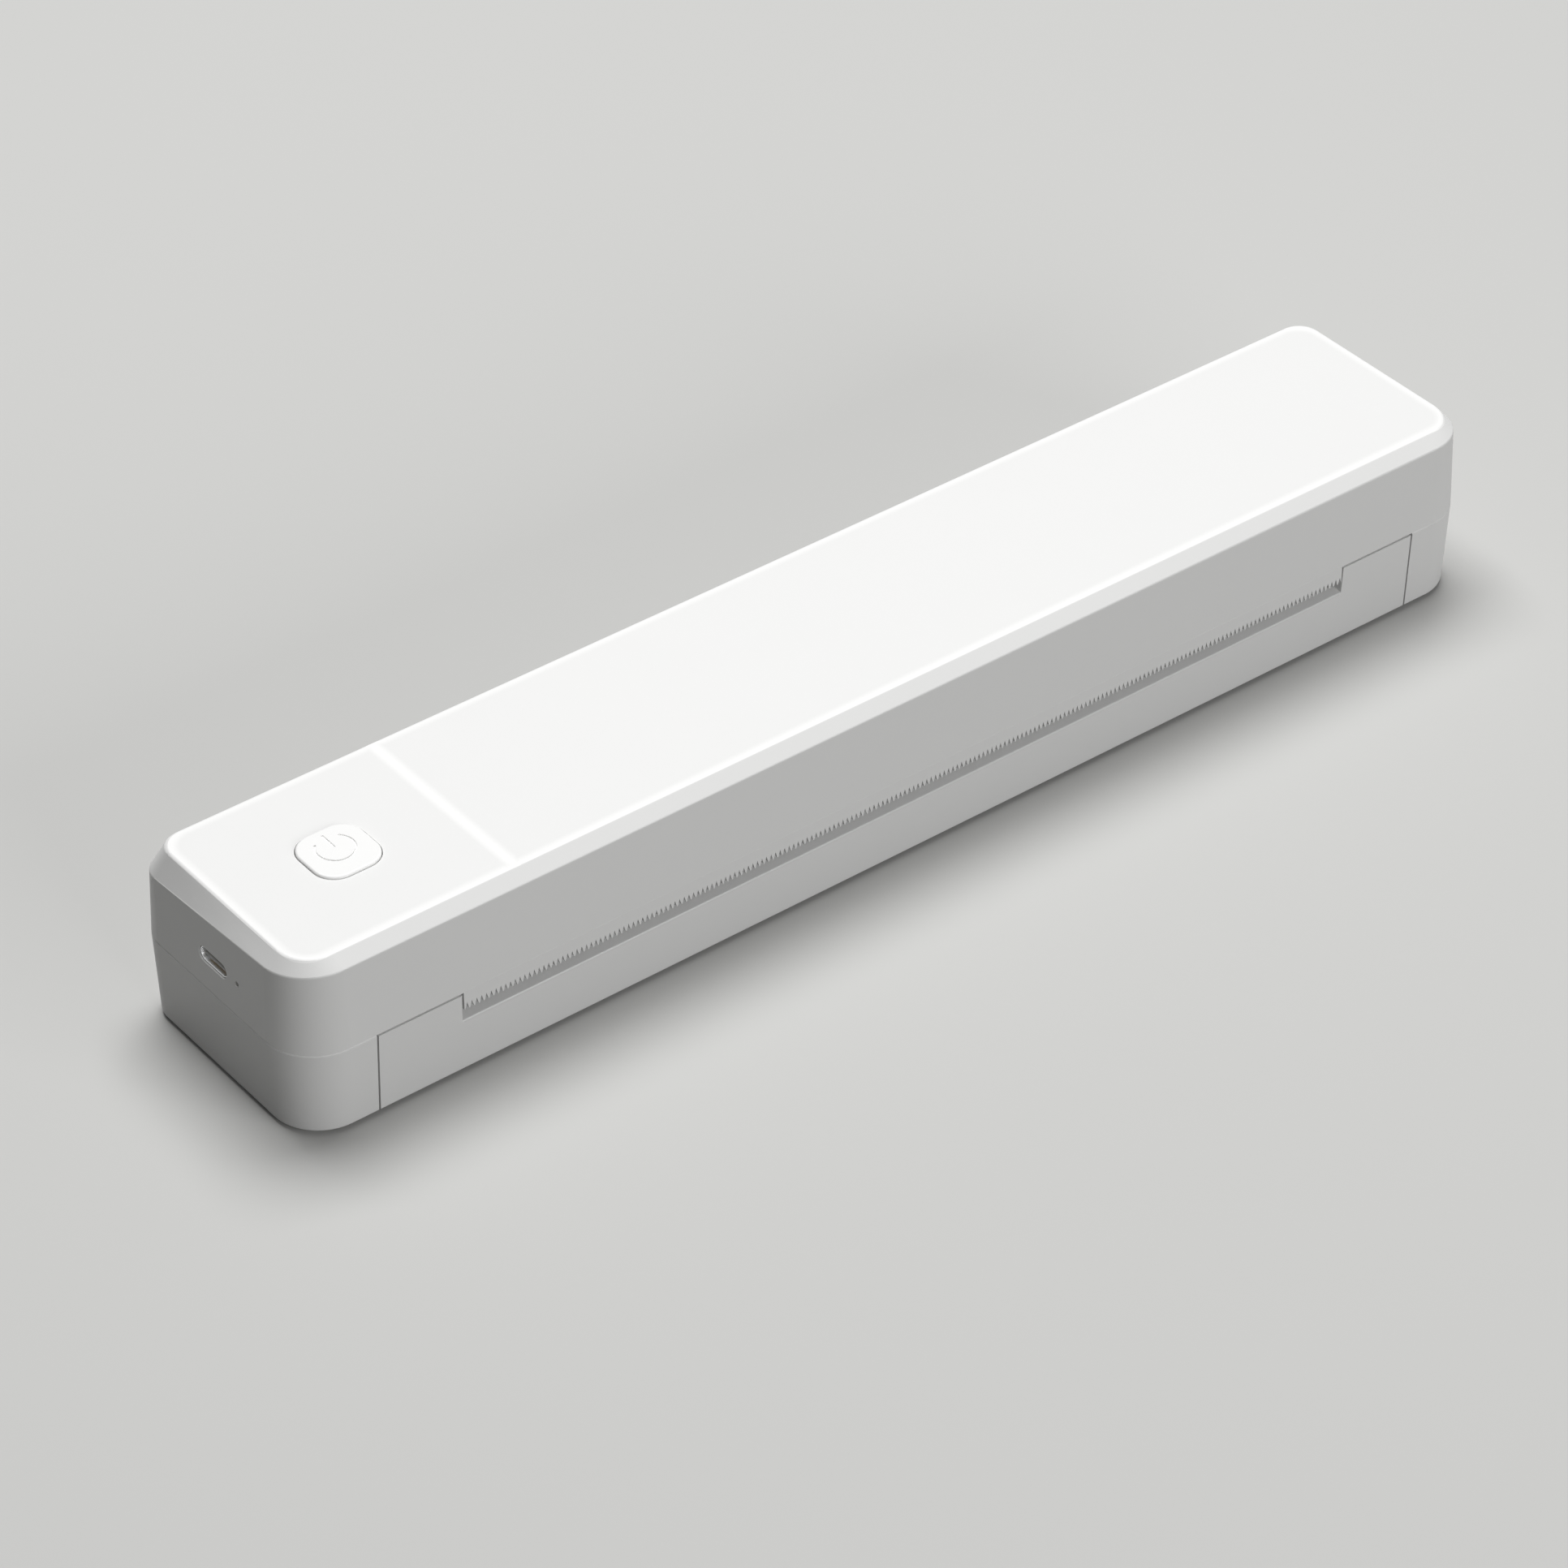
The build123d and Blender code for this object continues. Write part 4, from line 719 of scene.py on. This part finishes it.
@dataclass
class Fasteners:
    """Pan-head screws with a cross recess and a rolled thread, in place of the plain ones.

    The head's profile is in shares of its radius and height. Each step of the thread says whether it is
    at the root, and how far down its pitch it is.
    """

    materials: dict[str, bpy.types.Material]
    segments: int = 32
    thread_pitch: float = 0.5 * MM
    thread_depth: float = 0.12 * MM
    recess_share: float = 0.62
    recess_width: float = 0.22
    recess_depth: float = 0.5
    recess_taper: tuple[float, float, float] = (0.35, 0.5, 1.0)
    head_profile: tuple[tuple[float, float], ...] = (
        (0.0, 1.0),
        (0.55, 1.0),
        (0.85, 0.86),
        (1.0, 0.5),
        (1.0, 0.0),
    )
    thread_steps: tuple[tuple[bool, float], ...] = ((True, 0.4), (True, 0.7), (False, 0.9), (False, 1.0))
    end_tolerance: float = 0.02 * MM
    least_head: float = 0.5 * MM

    def cutter(self, head: float, depth: float) -> bpy.types.Object:
        """Make the tapered cross that cuts the recess into a head.

        Args:
            head: radius of the head.
            depth: depth of the recess.

        Returns:
            The cross, whose middle is at the top of the head.
        """
        mesh = bmesh.new()
        size = (2 * self.recess_share * head, 2 * self.recess_width * head, 2 * depth)
        for turn in (0, 1):
            arm = bmesh.ops.create_cube(mesh, size=1.0)["verts"]
            bmesh.ops.scale(mesh, vec=size, verts=arm)
            bottom = [v for v in arm if v.co.z < 0]
            bmesh.ops.scale(mesh, vec=self.recess_taper, verts=bottom)
            bmesh.ops.rotate(mesh, matrix=Matrix.Rotation(turn * pi / 2, 3, "Z"), verts=arm)
        return place_in_scene("recess_cutter", closed_mesh("recess_cutter", mesh))

    def template(self, head: float, shank: float, head_height: float, length: float) -> bpy.types.Mesh:
        """Turn one screw whose head stands up from z = 0 and whose shank hangs below it.

        Args:
            head: radius of the head.
            shank: radius of the shank.
            head_height: height of the head.
            length: length of the shank.

        Returns:
            The screw's mesh with its recess cut.
        """
        profile = [(share * head, height * head_height) for share, height in self.head_profile]
        profile.append((shank, 0.0))
        root = shank - self.thread_depth
        for turn in range(int((length - shank) / self.thread_pitch)):
            for at_root, share in self.thread_steps:
                profile.append((root if at_root else shank, -(turn + share) * self.thread_pitch))
        profile += [(0.7 * shank, -length + 0.4 * shank), (0.3 * shank, -length), (0.0, -length)]
        mesh = bmesh.new()
        points = [mesh.verts.new((radius, 0.0, z)) for radius, z in profile]
        edges = [mesh.edges.new(pair) for pair in zip(points, points[1:])]
        bmesh.ops.spin(mesh, geom=points + edges, axis=(0, 0, 1), cent=(0, 0, 0), angle=2 * pi,
                       steps=self.segments, use_merge=True)
        holder = place_in_scene("screw", closed_mesh("screw", mesh))
        cross = self.cutter(head, self.recess_depth * head_height)
        cross.location.z = head_height
        cut = holder.modifiers.new("recess", "BOOLEAN")
        cut.object = cross
        cut.operation = "DIFFERENCE"
        cut.solver = "EXACT"
        cut.use_self = True
        bpy.context.view_layer.update()
        evaluated = holder.evaluated_get(bpy.context.evaluated_depsgraph_get())
        solid = bpy.data.meshes.new_from_object(evaluated)
        bpy.data.objects.remove(cross)
        bpy.data.objects.remove(holder)
        return solid

    def replace(self, node: str, body: str) -> None:
        """Put a finished screw where each plain one of a node stands.

        Args:
            node: the node of plain screws, all along Z.
            body: the body that they ride on.
        """
        mesh = bmesh.new()
        for solid in islands(frame["nodes"][node]):
            low = Vector([min(p[axis] for p in solid) for axis in range(3)])
            high = Vector([max(p[axis] for p in solid) for axis in range(3)])
            middle = (low + high) / 2
            radii = {end: max((p.xy - middle.xy).length for p in solid if abs(p.z - end) < self.end_tolerance)
                     for end in (low.z, high.z)}
            head_z = max(radii, key=radii.get)
            tip_z = min(radii, key=radii.get)
            seat_z = min((p.z for p in solid if abs(p.z - head_z) > self.least_head),
                         key=lambda z: abs(z - head_z))
            screw = self.template(radii[head_z], radii[tip_z], abs(head_z - seat_z), abs(seat_z - tip_z))
            turn = Matrix.Rotation(0 if head_z > tip_z else pi, 4, "X")
            screw.transform(Matrix.Translation((middle.x, middle.y, seat_z)) @ turn)
            mesh.from_mesh(screw)
        name = node.replace("screws", "cross_screws")
        zinc = self.materials["zinc_screw"]
        piece = finished_piece(name, mesh, zinc, body, smooth_below=30.0)
        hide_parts(node)

    def build(self) -> None:
        """Replace every set of upright screws."""
        for node in ("case_screws", "frame_screws", "inner_cover_screws", "board_screws"):
            self.replace(node, "housing")


@dataclass
class ResetTip:
    """The pale tip of the reset plunger, which shows as a dot inside the pinhole."""

    materials: dict[str, bpy.types.Material]
    radius: float = 0.4 * MM
    wall_lean: float = 0.3 * MM
    sunk: float = 0.5 * MM
    overlap: float = 0.4 * MM
    edge: float = 0.12 * MM
    segments: int = 32

    def build(self) -> None:
        """Turn the tip, from just behind the wall's face to inside the plunger."""
        low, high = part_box("reset_plunger")
        middle = (low + high) / 2
        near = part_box("top_shell")[0].x + self.wall_lean + self.sunk
        length = low.x + self.overlap - near
        along_x = Matrix.Rotation(pi / 2, 4, "Y")
        place = Matrix.Translation((near + length / 2, middle.y, middle.z)) @ along_x
        mesh = bmesh.new()
        bmesh.ops.create_cone(mesh, cap_ends=True, segments=self.segments, radius1=self.radius,
                              radius2=self.radius, depth=length, matrix=place)
        rims = [e for e in mesh.edges if abs(e.verts[0].co.x - e.verts[1].co.x) < MERGE_DISTANCE]
        bmesh.ops.bevel(mesh, geom=rims, offset=self.edge, segments=2, profile=0.5, affect="EDGES",
                        material=-1)
        acetal = self.materials["acetal_natural"]
        finished_piece("reset_plunger_tip", mesh, acetal, "reset_key")


@dataclass
class PrintHead:
    """What shows on the underside of the head's ceramic: the glazed bead that prints, and its feed lines."""

    materials: dict[str, bpy.types.Material]
    bead_width: float = 1.1 * MM
    bead_height: float = 0.06 * MM
    bus_width: float = 0.9 * MM
    bus_height: float = 0.02 * MM
    bus_gap: float = 1.6 * MM
    bead_inset: float = 0.5 * MM
    bus_inset: float = 1.0 * MM

    def add_strip(self, mesh: bmesh.types.BMesh, offset: float, width: float, height: float, inset: float,
                  bevel: float = 0.0) -> None:
        """Add a strip along the ceramic's face, at an offset from the line that prints.

        Args:
            mesh: the bmesh to add to.
            offset: how far behind the line it is.
            width: its width.
            height: how far it stands out.
            inset: how far it stays inside the ceramic's ends.
            bevel: the radius of its edges.
        """
        low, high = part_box("head_ceramic")
        roller_low, roller_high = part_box("platen_rubber")
        y = (roller_low.y + roller_high.y) / 2 + offset
        half = Vector((0.0, width / 2, height))
        start = Vector((low.x + inset, y, low.z))
        end = Vector((high.x - inset, y, low.z))
        add_block(mesh, start - half, end + half, bevel=bevel)

    def bead(self) -> bpy.types.Object:
        """Lay the half-round bead of glaze along the ceramic, above the roller.

        Returns:
            The bead.
        """
        mesh = bmesh.new()
        self.add_strip(mesh, 0.0, self.bead_width, self.bead_height, self.bead_inset, 0.9 * self.bead_height)
        return finished_piece("heater_bead", mesh, self.materials["glass_bead"], "head")

    def bus(self) -> bpy.types.Object:
        """Print the two gilt feed lines beside the bead.

        Returns:
            The lines, in one piece.
        """
        mesh = bmesh.new()
        for side in (-1, 1):
            self.add_strip(mesh, side * self.bus_gap, self.bus_width, self.bus_height, self.bus_inset)
        gilt = self.materials["gold_flash"]
        return finished_piece("heater_feed_lines", mesh, gilt, "head")

    def build(self) -> None:
        """Dress the ceramic."""
        self.bead()
        self.bus()


# ---------------------------------------------------------------------- studio


@dataclass(frozen=True)
class AreaLamp:
    """A soft rectangular lamp that faces the printer."""

    name: str
    towards: tuple[float, float, float]
    distance: float
    width: float
    depth: float
    watts: float

    def place(self) -> None:
        """Add the lamp to the scene, facing the origin."""
        lamp = bpy.data.lights.new(self.name, "AREA")
        lamp.shape = "RECTANGLE"
        lamp.size = self.width
        lamp.size_y = self.depth
        lamp.energy = self.watts
        holder = bpy.data.objects.new(self.name, lamp)
        bpy.context.scene.collection.objects.link(holder)
        holder.location = Vector(self.towards).normalized() * self.distance
        holder.rotation_euler = holder.location.to_track_quat("Z", "Y").to_euler()
        holder.visible_camera = False


@dataclass
class Studio:
    """A pale floor, soft lamps and the photograph's camera.

    Lengths are in metres, angles in degrees, and levels are the world's strength.
    """

    floor_half: float = 6.0
    floor_colour: str = "D2D2D0"
    floor_bounce: str = "6E6E6C"
    world_level: float = 0.09
    backdrop_level: float = 0.62
    eye: tuple[float, float, float] = (-0.5475, -0.6840, 0.6804)
    heading: float = 37.99
    pitch: float = 37.85
    lens_mm: float = 129.74
    sensor_mm: float = 36.0

    def seen_rays(self, tree: bpy.types.NodeTree) -> bpy.types.NodeSocket:
        """Tell what the eye sees, straight or in a reflection, from the light that is thrown back.

        Args:
            tree: the node tree of the floor or the world.

        Returns:
            A socket that is 1 for camera, glossy and transmission rays and 0 for the others.
        """
        rays = add_node(tree, "ShaderNodeLightPath", {}).outputs
        seen = maths(tree, "ADD", rays["Is Camera Ray"], rays["Is Glossy Ray"])
        return maths(tree, "ADD", seen, rays["Is Transmission Ray"], use_clamp=True)

    def floor(self) -> None:
        """Lay the floor, pale to the eye and darker in the light that it throws back."""
        bpy.ops.mesh.primitive_plane_add(size=2 * self.floor_half)
        ground = bpy.context.object
        ground.name = "floor"
        paper = bpy.data.materials.new("studio_floor")
        paper.use_nodes = True
        tree = paper.node_tree
        tree.nodes.clear()
        colour = mix_colours(tree, self.seen_rays(tree), linear(self.floor_bounce), linear(self.floor_colour))
        shader = add_node(tree, "ShaderNodeBsdfDiffuse", {"Color": colour})
        add_node(tree, "ShaderNodeOutputMaterial", {"Surface": shader.outputs["BSDF"]})
        ground.data.materials.append(paper)

    def lamps(self) -> None:
        """Hang a large key above and a little behind, a low fill in front, and a low even world."""
        AreaLamp("key", towards=(0.10, 0.26, 0.95), distance=1.6, width=1.1, depth=0.8, watts=23.2).place()
        AreaLamp("front", towards=(0.10, -1.0, 0.34), distance=1.8, width=1.4, depth=0.6, watts=13.3).place()
        world = bpy.data.worlds.new("studio")
        bpy.context.scene.world = world
        world.use_nodes = True
        tree = world.node_tree
        tree.nodes.clear()
        level = add_node(tree, "ShaderNodeMapRange", {
            "Value": self.seen_rays(tree),
            "To Min": self.world_level,
            "To Max": self.backdrop_level,
        })
        background = add_node(tree, "ShaderNodeBackground", {
            "Color": (1.0, 1.0, 1.0, 1.0),
            "Strength": level.outputs["Result"],
        })
        add_node(tree, "ShaderNodeOutputWorld", {"Surface": background.outputs[0]})

    def camera(self) -> None:
        """Stand the camera where the photograph was taken from."""
        lens = bpy.data.cameras.new("camera")
        lens.lens = self.lens_mm
        lens.sensor_width = self.sensor_mm
        holder = bpy.data.objects.new("camera", lens)
        bpy.context.scene.collection.objects.link(holder)
        flat = cos(radians(self.pitch))
        forward = Vector((sin(radians(self.heading)) * flat, cos(radians(self.heading)) * flat,
                          -sin(radians(self.pitch))))
        holder.location = self.eye
        holder.rotation_euler = forward.to_track_quat("-Z", "Y").to_euler()
        bpy.context.scene.camera = holder

    def build(self) -> None:
        """Put up the whole studio."""
        bpy.context.scene.view_settings.view_transform = "Standard"
        self.floor()
        self.lamps()
        self.camera()


def dress_nodes(materials: dict[str, bpy.types.Material]) -> None:
    """Give every carried-over node the finish of its slot.

    Args:
        materials: the finishes by slot.
    """
    for part in frame["record"]["subparts"]:
        piece = frame["nodes"][part["node"]]
        piece.data.materials.clear()
        piece.data.materials.append(materials[part["material_slot"]])
        log.info("%s: %s", part["node"], materials[part["material_slot"]].name)


def main() -> None:
    """Build the studio, the finishes and the pieces in order."""
    logging.basicConfig(level=logging.INFO, format="%(message)s")
    Studio().build()
    materials = {slot: finish.material() for slot, finish in {**FINISHES, **EXTRA_FINISHES}.items()}
    dress_nodes(materials)
    UsbSocket(materials).build()
    Fasteners(materials).build()
    PrintHead(materials).build()
    ResetTip(materials).build()


if __name__ == "__main__":
    main()
